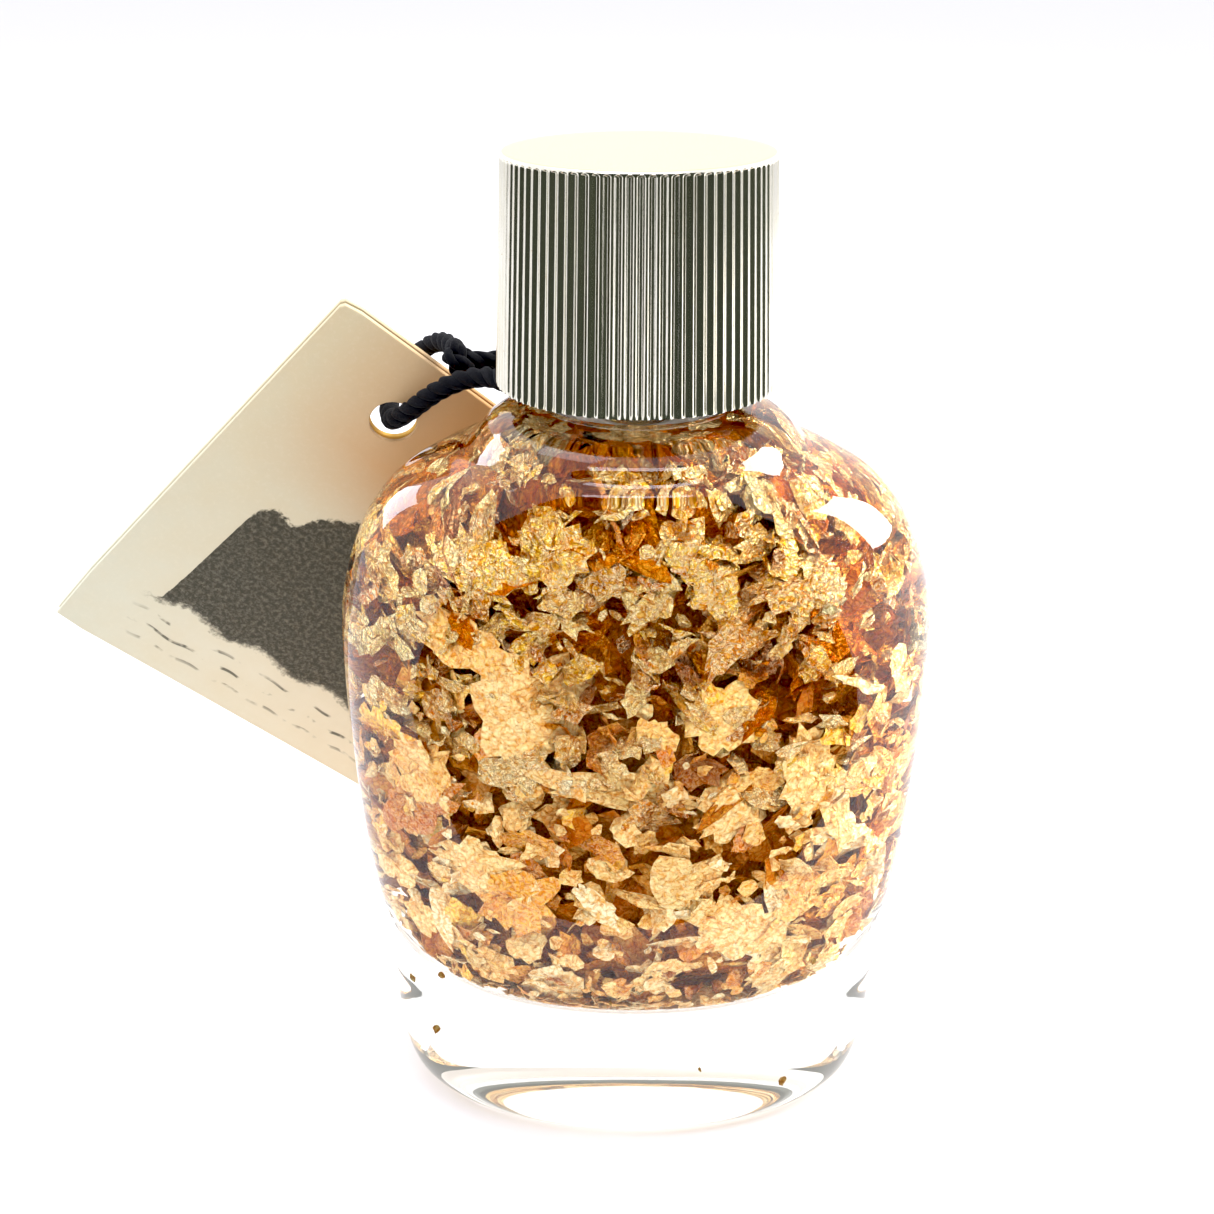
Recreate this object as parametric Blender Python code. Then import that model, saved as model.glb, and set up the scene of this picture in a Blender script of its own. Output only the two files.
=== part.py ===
"""A gold sample vial: a small oval glass bottle packed with gold leaf flakes in clear liquid,
closed by a ribbed metallised screw cap, with a folded card tag tied round its neck on a black cord.

Units: the constants are millimetres, the scene is metres. The origin is on the surface the bottle
stands on, under the middle of its base. +Z is up and the front of the bottle faces -Y.
"""

import math
import random

import bmesh
import bpy
from mathutils import Euler, Matrix, Vector
from mathutils.geometry import interpolate_bezier

MM = 0.001

# Bottle: each row is height, half width, half depth and the squareness of the oval (2 is an ellipse).
RING_SIDES = 40
BODY_OUTLINE = [
    (0.0, 11.9, 6.0, 2.0),
    (0.3, 12.9, 6.75, 2.0),
    (1.0, 13.8, 7.4, 2.0),
    (2.2, 14.6, 7.85, 2.05),
    (4.0, 15.1, 8.15, 2.1),
    (6.5, 15.4, 8.4, 2.12),
    (11.3, 15.75, 8.8, 2.15),
    (16.0, 16.4, 9.25, 2.2),
    (20.1, 16.95, 9.6, 2.2),
    (27.5, 17.45, 10.1, 2.2),
    (33.6, 17.5, 10.35, 2.2),
    (37.0, 16.9, 10.35, 2.15),
    (39.8, 15.8, 10.3, 2.1),
    (42.1, 14.0, 10.2, 2.05),
    (43.4, 11.8, 10.05, 2.0),
    (44.1, 10.0, 9.9, 2.0),
    (44.7, 9.35, 9.3, 2.0),
    (45.5, 8.7, 8.7, 2.0),
    (46.1, 7.8, 7.8, 2.0),
    (46.4, 6.6, 6.6, 2.0),
    (46.9, 5.75, 5.75, 2.0),
]
PUSH_UP = [
    (0.0, 10.8, 4.9, 2.0),
    (0.12, 9.2, 3.7, 2.0),
    (0.25, 5.2, 2.0, 2.0),
]
PUSH_UP_HEIGHT = 0.3
CAVITY_FLOOR = 8.0
CAVITY_OUTLINE = [
    (8.35, 6.2, 3.0, 2.0),
    (9.5, 10.2, 5.0, 2.05),
    (11.6, 12.7, 6.4, 2.1),
    (15.0, 14.1, 7.3, 2.15),
    (21.0, 15.0, 8.0, 2.2),
    (27.5, 15.5, 8.5, 2.2),
    (33.6, 15.7, 8.75, 2.2),
    (38.2, 14.5, 8.7, 2.1),
    (41.3, 11.9, 8.4, 2.05),
    (43.2, 8.9, 8.0, 2.0),
    (45.0, 7.2, 7.2, 2.0),
    (46.4, 5.3, 5.3, 2.0),
    (47.6, 4.1, 4.1, 2.0),
]
NECK_RADIUS = 5.75
BORE_RADIUS = 4.1
MOUTH_HEIGHT = 57.7
MOUTH_ROUNDING = 0.35

# Screw thread shared by the neck and the cap: 12 turns to the inch, right-handed.
THREAD_PITCH = 25.4 / 12
THREAD_CREST_RADIUS = 6.45
THREAD_TURNS = 1.75
THREAD_START = 52.4
THREAD_STEPS = 28
THREAD_FADE = 0.08
THREAD_HALF_ROOT = 0.6
THREAD_HALF_CREST = 0.22
THREAD_END_HEIGHT = 0.2
THREAD_SINK = 0.35
CAP_THREAD_SINK = 0.12
CAP_THREAD_CREST = 6.05
CAP_THREAD_TURNS = 1.5
CAP_THREAD_START = THREAD_START - THREAD_PITCH / 2

# Liquid and gold leaf.
LIQUID_GAP = 0.35
LIQUID_TOP = 46.3
LIQUID_FLOOR_BLEND = 4.0
FLAKE_ROWS = [13.4, 19.6, 25.8, 32.0, 38.2]
FLAKE_RADIUS = 2.9
FLAKE_THICKNESS = 0.45
FLAKE_DEPTH = 2.1
FLAKE_SIDES = 8
FLAKE_TILT = 0.3
FLAKE_LEAST_REACH = 0.62
FLAKE_INNER_SHARE = 0.5
FLAKE_RIM_LIFT = 0.5
FLAKE_INNER_LIFT = 0.35
POCKET_RADIUS = 3.45
POCKET_SIDES = 10
POCKET_DEPTH = 4.1
POCKET_OVERRUN = 3.0
POCKET_TAPER = 0.85

# Cap: a metallised ribbed shell over a threaded plastic insert, with a foam wad on the mouth.
CAP_BOTTOM = 47.8
CAP_TOP = 60.5
CAP_RADIUS_BOTTOM = 8.0
CAP_RADIUS_TOP = 7.5
RIB_COUNT = 80
RIB_DEPTH = 0.2
RIB_TOP = 60.2
RIM_STEP = 0.02
RIM_BEVEL = 0.15
SHELL_WALL = 0.4
SHELL_TOP_WALL = 0.6
INSERT_GAP = 0.12
INSERT_BOTTOM = 49.3
INSERT_ROOT_RADIUS = 6.7
INSERT_TOP_WALL = 0.8
WAD_THICKNESS = 0.9
WAD_RADIUS = 6.3
WAD_GAP = 0.1
WAD_SIDES = 32
INSERT_CEILING_RADIUS = 6.5
INSERT_SEAT_RADIUS = 6.55

# Card tag: two square leaves folded along their left edge, leaning on the back of the bottle.
TAG_SIZE = 31.75
TAG_THICKNESS = 0.35
TAG_GAP = 0.25
TAG_CORNER = Vector((-17.30, 6.50, 50.74))
TAG_TURN = (111.96, 40.28, 18.53)
HOLE_FROM_FOLD = 7.57
HOLE_FROM_TOP = 4.83
HOLE_RADIUS = 1.475
HOLE_SIDES = 24

# Cord: one length, from the knot round the neck under the cap, through the tag and back.
CORD_DIAMETER = 1.2
CORD_ROUTE = [
    (-10.6, 7.2, 47.0), (-9.1, 7.5, 46.85), (-7.2, 7.7, 46.9), (-5.3, 7.6, 46.95), (-3.4, 7.2, 46.95),
    (-1.5, 6.8, 47.15), (0.6, 6.65, 47.75), (2.8, 6.0, 48.15), (4.9, 4.4, 48.2), (6.3, 2.0, 48.2),
    (6.6, -0.6, 48.2), (5.9, -3.0, 48.2), (4.2, -5.1, 48.2), (1.8, -6.4, 48.2), (-0.9, -6.55, 48.2),
    (-3.5, -5.6, 48.2), (-5.3, -3.9, 48.05), (-6.25, -1.9, 47.65), (-6.75, 0.3, 47.15),
    (-7.35, 2.3, 46.9), (-8.5, 3.8, 46.85), (-9.8, 4.7, 46.55), (-11.1, 5.3, 46.0), (-12.4, 6.1, 45.1),
    (-13.7, 7.2, 43.9), (-14.75, 8.4, 42.95), (-15.35, 10.0, 42.4), (-15.65, 11.6, 42.65),
    (-15.45, 13.0, 43.55), (-14.65, 13.65, 44.85), (-13.4, 13.2, 46.15), (-12.25, 11.7, 46.95),
    (-11.35, 9.6, 47.2), (-10.6, 7.2, 47.0),
]
CORD_POINT_GAP = 1.5
KNOT_RADIUS = 1.15
KNOT_SHAPE = (1.15, 0.95, 0.95)
KNOT_CLEARANCE = 0.4

GOLD_SEED = 11


def clear_scene():
    for obj in list(bpy.data.objects):
        bpy.data.objects.remove(obj, do_unlink=True)


def material(name, colour, roughness, metallic=0.0, transmission=0.0, ior=1.45):
    mat = bpy.data.materials.new(name)
    mat.use_nodes = True
    shader = mat.node_tree.nodes["Principled BSDF"]
    shader.inputs["Base Color"].default_value = (*colour, 1.0)
    shader.inputs["Roughness"].default_value = roughness
    shader.inputs["Metallic"].default_value = metallic
    shader.inputs["Transmission Weight"].default_value = transmission
    shader.inputs["IOR"].default_value = ior
    return mat


def add_object(name, mesh, mat, location=(0, 0, 0)):
    """Adds a mesh whose vertices are in world millimetres, with its origin at location, also in mm."""
    place = Vector(location)
    mesh.transform(Matrix.Scale(MM, 4) @ Matrix.Translation(-place))
    obj = bpy.data.objects.new(name, mesh)
    obj.location = place * MM
    bpy.context.scene.collection.objects.link(obj)
    obj.data.materials.append(mat)
    return obj


def cut_or_join(obj, other, operation):
    """Joins or cuts obj with a guide object that isn't itself part of the vial."""
    other.hide_render = True
    other.display_type = "WIRE"
    modifier = obj.modifiers.new(operation.title(), "BOOLEAN")
    modifier.operation = operation
    modifier.solver = "EXACT"
    modifier.object = other


def smooth_shade(obj, angle=40):
    obj.data.shade_smooth()
    obj.data.set_sharp_from_angle(angle=math.radians(angle))


def oval_ring(height, half_width, half_depth, squareness=2.0, sides=RING_SIDES):
    """A superellipse of points, counter-clockwise seen from above."""
    ring = []
    for step in range(sides):
        turn = 2 * math.pi * step / sides
        across, along = math.cos(turn), math.sin(turn)
        x = math.copysign(abs(across) ** (2 / squareness), across)
        y = math.copysign(abs(along) ** (2 / squareness), along)
        ring.append(Vector((half_width * x, half_depth * y, height)))
    return ring


def round_ring(height, radius, sides=RING_SIDES):
    return oval_ring(height, radius, radius, 2.0, sides)


def skin(name, rings):
    """A closed mesh through rings of equal length; a ring of one point closes an end."""
    mesh = bpy.data.meshes.new(name)
    bm = bmesh.new()
    loops = [[bm.verts.new(point) for point in ring] for ring in rings]
    for lower, upper in zip(loops, loops[1:]):
        count = max(len(lower), len(upper))
        for i in range(count):
            j = (i + 1) % count
            below = [lower[i % len(lower)], lower[j % len(lower)]]
            above = [upper[j % len(upper)], upper[i % len(upper)]]
            bm.faces.new(list(dict.fromkeys(below + above)))
    bmesh.ops.recalc_face_normals(bm, faces=bm.faces)
    bm.to_mesh(mesh)
    bm.free()
    return mesh


def outline_at(outline, height):
    """Half width, half depth and squareness of an outline at a height, read between its rows."""
    for low, high in zip(outline, outline[1:]):
        if low[0] <= height <= high[0]:
            share = (height - low[0]) / (high[0] - low[0])
            return [a + (b - a) * share for a, b in zip(low[1:], high[1:])]
    return list(outline[-1][1:])


def helical_ridge(name, root, crest, start, turns):
    """A thread ridge that rises from the root radius to the crest radius and sinks away at both ends."""
    total = int(THREAD_STEPS * turns)
    rings = []
    for step in range(total + 1):
        along = step / total
        height = min(1.0, along / THREAD_FADE, (1 - along) / THREAD_FADE)
        turn = 2 * math.pi * turns * along
        middle = start + THREAD_PITCH * turns * along
        tip = root + (crest - root) * max(height, THREAD_END_HEIGHT)
        foot, edge = THREAD_HALF_ROOT, THREAD_HALF_CREST
        profile = [(root, -foot), (tip, -edge), (tip, edge), (root, foot)]
        rings.append([Vector((r * math.cos(turn), r * math.sin(turn), middle + dz)) for r, dz in profile])
    mesh = bpy.data.meshes.new(name)
    bm = bmesh.new()
    loops = [[bm.verts.new(point) for point in ring] for ring in rings]
    for before, after in zip(loops, loops[1:]):
        for i in range(4):
            j = (i + 1) % 4
            bm.faces.new([before[i], before[j], after[j], after[i]])
    bm.faces.new(loops[0])
    bm.faces.new(loops[-1])
    bmesh.ops.recalc_face_normals(bm, faces=bm.faces)
    bm.to_mesh(mesh)
    bm.free()
    return mesh


def make_bottle(glass):
    rings = [[Vector((0, 0, PUSH_UP_HEIGHT))]]
    rings += [oval_ring(*row) for row in reversed(PUSH_UP)]
    rings += [oval_ring(*row) for row in BODY_OUTLINE]
    rings += [round_ring(MOUTH_HEIGHT - MOUTH_ROUNDING, NECK_RADIUS)]
    rings += [round_ring(MOUTH_HEIGHT, NECK_RADIUS - MOUTH_ROUNDING)]
    rings += [round_ring(MOUTH_HEIGHT, BORE_RADIUS + MOUTH_ROUNDING)]
    rings += [round_ring(MOUTH_HEIGHT - MOUTH_ROUNDING, BORE_RADIUS)]
    rings += [oval_ring(*row) for row in reversed(CAVITY_OUTLINE)]
    rings += [[Vector((0, 0, CAVITY_FLOOR))]]
    bottle = add_object("glass_bottle", skin("glass_bottle", rings), glass)
    ridge_root = NECK_RADIUS - THREAD_SINK
    ridge = helical_ridge("neck_thread", ridge_root, THREAD_CREST_RADIUS, THREAD_START, THREAD_TURNS)
    cut_or_join(bottle, add_object("neck_thread_guide", ridge, glass), "UNION")
    smooth_shade(bottle)
    return bottle


def make_cap_shell(metal):
    """The ribbed outer shell; its outside, rim, inside and ceiling share one set of spokes."""
    spokes = 2 * RIB_COUNT

    def cap_radius(height):
        share = (height - CAP_BOTTOM) / (CAP_TOP - CAP_BOTTOM)
        return CAP_RADIUS_BOTTOM + (CAP_RADIUS_TOP - CAP_RADIUS_BOTTOM) * share

    def ribbed(height):
        ring = []
        for step in range(spokes):
            radius = cap_radius(height) - RIB_DEPTH * (step % 2)
            turn = 2 * math.pi * step / spokes
            ring.append(Vector((radius * math.cos(turn), radius * math.sin(turn), height)))
        return ring

    rim = cap_radius(CAP_TOP) - RIB_DEPTH
    ceiling = CAP_TOP - SHELL_TOP_WALL
    wall = RIB_DEPTH + SHELL_WALL
    rings = [
        round_ring(CAP_BOTTOM, cap_radius(CAP_BOTTOM) - wall, spokes),
        ribbed(CAP_BOTTOM),
        ribbed(RIB_TOP),
        round_ring(CAP_TOP - RIM_BEVEL, rim + RIM_STEP, spokes),
        round_ring(CAP_TOP, rim - RIM_BEVEL, spokes),
        [Vector((0, 0, CAP_TOP))],
    ]
    inside = [
        [Vector((0, 0, ceiling))],
        round_ring(ceiling, cap_radius(ceiling) - wall, spokes),
    ]
    mesh = skin("cap_shell", inside + rings)
    shell = add_object("cap_shell", mesh, metal)
    smooth_shade(shell, 30)
    return cap_radius, ceiling, wall


def make_cap_insert(plastic, cap_radius, ceiling, wall):
    top = ceiling - INSERT_GAP
    wad_top = top - INSERT_TOP_WALL
    outside_bottom = cap_radius(INSERT_BOTTOM) - wall - INSERT_GAP
    outside_top = cap_radius(top) - wall - INSERT_GAP
    rings = [
        [Vector((0, 0, wad_top))],
        round_ring(wad_top, INSERT_CEILING_RADIUS),
        round_ring(wad_top - WAD_THICKNESS, INSERT_SEAT_RADIUS),
        round_ring(wad_top - 2 * WAD_THICKNESS, INSERT_ROOT_RADIUS),
        round_ring(INSERT_BOTTOM, INSERT_ROOT_RADIUS),
        round_ring(INSERT_BOTTOM, outside_bottom),
        round_ring(top, outside_top),
        [Vector((0, 0, top))],
    ]
    insert = add_object("cap_insert", skin("cap_insert", rings), plastic)
    ridge_root = INSERT_ROOT_RADIUS + CAP_THREAD_SINK
    ridge = helical_ridge("cap_thread", ridge_root, CAP_THREAD_CREST, CAP_THREAD_START, CAP_THREAD_TURNS)
    cut_or_join(insert, add_object("cap_thread_guide", ridge, plastic), "UNION")
    smooth_shade(insert)
    return wad_top


def make_wad(foam, wad_top):
    """The loose disc that seals the mouth; it rides up with the cap without having to turn."""
    top = wad_top - WAD_GAP
    bottom = MOUTH_HEIGHT + WAD_GAP
    rings = [
        [Vector((0, 0, bottom))],
        round_ring(bottom, WAD_RADIUS, WAD_SIDES),
        round_ring(top, WAD_RADIUS, WAD_SIDES),
        [Vector((0, 0, top))],
    ]
    smooth_shade(add_object("cap_wad", skin("cap_wad", rings), foam))


def flake_places():
    """A point on the cavity wall and the outward direction there for each flake, in staggered rows."""
    places = []
    for row, height in enumerate(FLAKE_ROWS):
        half_width, half_depth, _ = outline_at(CAVITY_OUTLINE, height)
        shares = [-0.6, 0.0, 0.6] if row % 2 == 0 else [-0.3, 0.3]
        spots = [(share, side) for side in (-1, 1) for share in shares]
        spots += [] if row % 2 == 0 else [(-1.0, 0), (1.0, 0)]
        for share, side in spots:
            x, y = half_width * share, side * half_depth * math.sqrt(1 - share**2)
            outward = Vector((x / half_width**2, y / half_depth**2, 0)).normalized()
            places.append((Vector((x, y, height)), outward))
    return places


def make_flake(name, wall_point, outward, gold, dice):
    """One crumpled leaf of gold: an uneven outline, creased out of its plane, of even thickness."""
    sides = FLAKE_SIDES
    middle = wall_point - outward * FLAKE_DEPTH
    tilt = Matrix.Rotation(dice.uniform(-FLAKE_TILT, FLAKE_TILT), 3, "X")
    facing = outward.to_track_quat("Z", "Y").to_matrix()
    turned = facing @ Matrix.Rotation(dice.uniform(0, math.tau), 3, "Z") @ tilt
    reach = [FLAKE_RADIUS * dice.uniform(FLAKE_LEAST_REACH, 1.0) for _ in range(sides)]
    rim_lift = [dice.uniform(-FLAKE_RIM_LIFT, FLAKE_RIM_LIFT) for _ in range(sides)]
    inner_lift = [dice.uniform(-FLAKE_INNER_LIFT, FLAKE_INNER_LIFT) for _ in range(sides)]

    def point(across, lift, side, thickness):
        turn = math.tau * side / sides
        flat = Vector((across * math.cos(turn), across * math.sin(turn), lift + thickness))
        return middle + turned @ flat

    half = FLAKE_THICKNESS / 2
    rings = []
    for sign in (-1, 1):
        inner = [point(FLAKE_INNER_SHARE * reach[i], inner_lift[i], i, sign * half) for i in range(sides)]
        rim = [point(reach[i], rim_lift[i], i, sign * half) for i in range(sides)]
        centre = [middle + turned @ Vector((0, 0, sign * half))]
        rings += [centre, inner, rim] if sign < 0 else [rim, inner, centre]
    smooth_shade(add_object(name, skin(name, rings), gold, middle), 20)


def make_liquid(liquid, places):
    """The clear liquid fills the cavity, with an open pocket around each flake."""
    rows = [row for row in CAVITY_OUTLINE if row[0] < LIQUID_TOP]
    rings = [[Vector((0, 0, CAVITY_FLOOR + LIQUID_GAP))]]
    for height, half_width, half_depth, squareness in rows:
        lift = LIQUID_GAP * max(0.0, 1 - (height - CAVITY_FLOOR) / LIQUID_FLOOR_BLEND)
        rings.append(oval_ring(height + lift, half_width - LIQUID_GAP, half_depth - LIQUID_GAP, squareness))
    top = outline_at(CAVITY_OUTLINE, LIQUID_TOP)
    rings.append(oval_ring(LIQUID_TOP, top[0] - LIQUID_GAP, top[1] - LIQUID_GAP, top[2]))
    rings.append([Vector((0, 0, LIQUID_TOP))])
    body = add_object("fill_liquid", skin("fill_liquid", rings), liquid)
    cutter = bpy.data.meshes.new("pockets")
    bm = bmesh.new()
    for wall_point, outward in places:
        length = POCKET_DEPTH + POCKET_OVERRUN
        centre = wall_point + outward * (length / 2 - POCKET_DEPTH)
        turn = outward.to_track_quat("Z", "Y").to_matrix().to_4x4()
        bmesh.ops.create_cone(
            bm, cap_ends=True, segments=POCKET_SIDES, radius1=POCKET_RADIUS * POCKET_TAPER,
            radius2=POCKET_RADIUS, depth=length, matrix=Matrix.Translation(centre) @ turn,
        )
    bmesh.ops.recalc_face_normals(bm, faces=bm.faces)
    bm.to_mesh(cutter)
    bm.free()
    cut_or_join(body, add_object("pocket_guide", cutter, liquid), "DIFFERENCE")
    smooth_shade(body, 30)


def tag_frame():
    """Places the tag: local x runs along its top edge, y up its folded edge, z out of its front face."""
    rotation = Euler([math.radians(angle) for angle in TAG_TURN], "XYZ").to_matrix().to_4x4()
    return Matrix.Translation(TAG_CORNER) @ rotation


def make_leaf(name, back, paper, origin):
    """A square leaf with a round hole; its front face lies at depth back behind the tag's face."""
    hole = Vector((HOLE_FROM_FOLD, -HOLE_FROM_TOP, 0))
    corners = [(0, 0), (TAG_SIZE, 0), (TAG_SIZE, -TAG_SIZE), (0, -TAG_SIZE)]
    outer = []
    for step in range(HOLE_SIDES):
        turn = math.tau * step / HOLE_SIDES
        ray = Vector((math.cos(turn), math.sin(turn), 0))
        across = ((TAG_SIZE if ray.x > 0 else 0) - hole.x) / ray.x if abs(ray.x) > 1e-6 else math.inf
        along = ((0 if ray.y > 0 else -TAG_SIZE) - hole.y) / ray.y if abs(ray.y) > 1e-6 else math.inf
        outer.append(hole + ray * min(across, along))
    for corner in corners:
        nearest = min(range(HOLE_SIDES), key=lambda i: (outer[i] - Vector((*corner, 0))).length)
        outer[nearest] = Vector((*corner, 0))
    inner = []
    for step in range(HOLE_SIDES):
        turn = math.tau * step / HOLE_SIDES
        inner.append(hole + HOLE_RADIUS * Vector((math.cos(turn), math.sin(turn), 0)))
    place = tag_frame()
    front, rear = Vector((0, 0, -back)), Vector((0, 0, -back - TAG_THICKNESS))
    rings = [
        [place @ (p + front) for p in inner],
        [place @ (p + front) for p in outer],
        [place @ (p + rear) for p in outer],
        [place @ (p + rear) for p in inner],
        [place @ (p + front) for p in inner],
    ]
    mesh = skin(name, rings)
    bm = bmesh.new()
    bm.from_mesh(mesh)
    bmesh.ops.remove_doubles(bm, verts=bm.verts, dist=0.001)
    bmesh.ops.recalc_face_normals(bm, faces=bm.faces)
    bm.to_mesh(mesh)
    bm.free()
    return add_object(name, mesh, paper, place @ origin)


def smooth_route(route, gap):
    """Points every gap along a smooth curve through the route's own points."""
    knots = [Vector(point) for point in route]
    fine = []
    for i in range(len(knots) - 1):
        before = knots[max(i - 1, 0)]
        after = knots[min(i + 2, len(knots) - 1)]
        handle_a = knots[i] + (knots[i + 1] - before) / 6
        handle_b = knots[i + 1] - (after - knots[i]) / 6
        fine += interpolate_bezier(knots[i], handle_a, handle_b, knots[i + 1], 12)[:-1]
    fine.append(knots[-1])
    lengths = [0.0]
    for a, b in zip(fine, fine[1:]):
        lengths.append(lengths[-1] + (b - a).length)
    count = round(lengths[-1] / gap)
    points = []
    for step in range(count + 1):
        target = lengths[-1] * step / count
        index = max(i for i in range(len(fine) - 1) if lengths[i] <= target + 1e-9)
        share = (target - lengths[index]) / (lengths[index + 1] - lengths[index])
        points.append(fine[index].lerp(fine[index + 1], share))
    return points


def make_cord(cotton):
    """The cord's tube, which starts and ends just clear of the knot's solid."""
    knot = Vector(CORD_ROUTE[0])
    clear = KNOT_RADIUS * max(KNOT_SHAPE) + KNOT_CLEARANCE
    points = [p for p in smooth_route(CORD_ROUTE, CORD_POINT_GAP) if (p - knot).length > clear]
    curve = bpy.data.curves.new("tag_cord", "CURVE")
    curve.dimensions = "3D"
    curve.bevel_depth = CORD_DIAMETER / 2 * MM
    curve.bevel_resolution = 2
    curve.use_fill_caps = True
    spline = curve.splines.new("POLY")
    spline.points.add(len(points) - 1)
    for spot, point in zip(spline.points, points):
        spot.co = (*(point * MM), 1)
    cord = bpy.data.objects.new("tag_cord", curve)
    bpy.context.scene.collection.objects.link(cord)
    curve.materials.append(cotton)


def make_knot(cotton):
    knot = bpy.data.meshes.new("cord_knot")
    bm = bmesh.new()
    bmesh.ops.create_uvsphere(bm, u_segments=12, v_segments=8, radius=KNOT_RADIUS)
    bmesh.ops.scale(bm, vec=KNOT_SHAPE, verts=bm.verts)
    bmesh.ops.translate(bm, vec=CORD_ROUTE[0], verts=bm.verts)
    bm.to_mesh(knot)
    bm.free()
    smooth_shade(add_object("cord_knot", knot, cotton))


def main():
    clear_scene()
    glass = material("clear_glass", (0.97, 0.98, 0.97), 0.02, transmission=1.0, ior=1.5)
    liquid = material("clear_liquid", (1.0, 0.98, 0.93), 0.0, transmission=1.0, ior=1.4)
    gold = material("gold_leaf", (0.95, 0.68, 0.28), 0.25, metallic=1.0)
    metal = material("champagne_metal", (0.86, 0.83, 0.70), 0.2, metallic=1.0)
    plastic = material("insert_plastic", (0.85, 0.85, 0.83), 0.5)
    foam = material("wad_foam", (0.93, 0.93, 0.90), 0.9)
    paper = material("card", (0.82, 0.76, 0.62), 0.8)
    cotton = material("black_cotton", (0.012, 0.012, 0.014), 0.85)

    make_bottle(glass)
    places = flake_places()
    make_liquid(liquid, places)
    dice = random.Random(GOLD_SEED)
    for number, (wall_point, outward) in enumerate(places, start=1):
        make_flake(f"gold_flake_{number:02d}", wall_point, outward, gold, dice)
    cap_radius, ceiling, wall = make_cap_shell(metal)
    wad_top = make_cap_insert(plastic, cap_radius, ceiling, wall)
    make_wad(foam, wad_top)
    make_cord(cotton)
    make_knot(cotton)
    hole = Vector((HOLE_FROM_FOLD, -HOLE_FROM_TOP, 0))
    fold = Vector((0, -TAG_SIZE / 2, -TAG_THICKNESS - TAG_GAP / 2))
    make_leaf("tag_front_leaf", 0.0, paper, hole)
    make_leaf("tag_back_leaf", TAG_THICKNESS + TAG_GAP, paper, fold)


main()
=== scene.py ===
"""The looks of the gold sample vial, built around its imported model.

Places and sizes below are millimetres unless a name says otherwise; meshes are written in metres.
"""

import math
import random

import bpy
import numpy as np
from mathutils import Euler, Matrix, Vector, noise


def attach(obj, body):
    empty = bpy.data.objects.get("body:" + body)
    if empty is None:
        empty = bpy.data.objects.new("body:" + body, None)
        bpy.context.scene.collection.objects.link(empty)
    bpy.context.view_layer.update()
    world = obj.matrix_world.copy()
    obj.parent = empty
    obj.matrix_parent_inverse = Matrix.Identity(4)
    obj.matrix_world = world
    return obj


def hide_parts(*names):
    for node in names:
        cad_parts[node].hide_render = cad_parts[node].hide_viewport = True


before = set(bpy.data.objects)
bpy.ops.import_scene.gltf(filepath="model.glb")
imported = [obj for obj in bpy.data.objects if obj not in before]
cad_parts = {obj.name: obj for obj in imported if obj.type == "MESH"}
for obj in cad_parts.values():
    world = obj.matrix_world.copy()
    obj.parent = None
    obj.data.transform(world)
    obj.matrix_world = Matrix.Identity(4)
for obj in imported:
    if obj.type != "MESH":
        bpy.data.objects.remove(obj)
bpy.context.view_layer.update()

MM = 0.001

# ---------------------------------------------------------------- sizes shared with the CAD model
# An outline's rows are height, half width, half depth and squareness.
BODY_OUTLINE = [
    (0.0, 11.9, 6.0, 2.0), (0.3, 12.9, 6.75, 2.0), (1.0, 13.8, 7.4, 2.0), (2.2, 14.6, 7.85, 2.05),
    (4.0, 15.1, 8.15, 2.1), (6.5, 15.4, 8.4, 2.12),
    (11.3, 15.75, 8.8, 2.15), (16.0, 16.4, 9.25, 2.2), (20.1, 16.95, 9.6, 2.2), (27.5, 17.45, 10.1, 2.2),
    (33.6, 17.5, 10.35, 2.2), (37.0, 16.9, 10.35, 2.15), (39.8, 15.8, 10.3, 2.1), (42.1, 14.0, 10.2, 2.05),
    (43.4, 11.8, 10.05, 2.0), (44.1, 10.0, 9.9, 2.0), (44.7, 9.35, 9.3, 2.0), (45.5, 8.7, 8.7, 2.0),
    (46.1, 7.8, 7.8, 2.0), (46.4, 6.6, 6.6, 2.0), (46.9, 5.75, 5.75, 2.0),
]
CAVITY_OUTLINE = [
    (8.35, 6.2, 3.0, 2.0), (9.5, 10.2, 5.0, 2.05), (11.6, 12.7, 6.4, 2.1), (15.0, 14.1, 7.3, 2.15),
    (21.0, 15.0, 8.0, 2.2), (27.5, 15.5, 8.5, 2.2), (33.6, 15.7, 8.75, 2.2), (38.2, 14.5, 8.7, 2.1),
    (41.3, 11.9, 8.4, 2.05), (43.2, 8.9, 8.0, 2.0), (45.0, 7.2, 7.2, 2.0), (46.4, 5.3, 5.3, 2.0),
    (47.6, 4.1, 4.1, 2.0),
]
CAVITY_FLOOR = 8.0
OUTLINE_STEPS = 6
PUSH_UP = [(0.25, 5.2, 2.0, 2.0), (0.12, 9.2, 3.7, 2.0), (0.0, 10.8, 4.9, 2.0)]
PUSH_UP_HEIGHT = 0.3
NECK_RADIUS = 5.75
BORE_RADIUS = 4.1
MOUTH_HEIGHT = 57.7
MOUTH_ROUNDING = 0.35
NECK_FOOT = 47.2
THREAD_PITCH = 25.4 / 12
THREAD_CREST_RADIUS = 6.45
THREAD_TURNS = 1.75
THREAD_START = 52.4
LIQUID_GAP = 0.35
LIQUID_TOP = 46.3
CAP_BOTTOM = 47.8
CAP_TOP = 60.5
CAP_RADIUS_BOTTOM = 8.0
CAP_RADIUS_TOP = 7.5
RIB_COUNT = 80
RIB_DEPTH = 0.2
SHELL_WALL = 0.4
SHELL_TOP_WALL = 0.6
TAG_SIZE = 31.75
TAG_THICKNESS = 0.35
TAG_GAP = 0.25
TAG_CORNER = Vector((-17.30, 6.50, 50.74))
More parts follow.
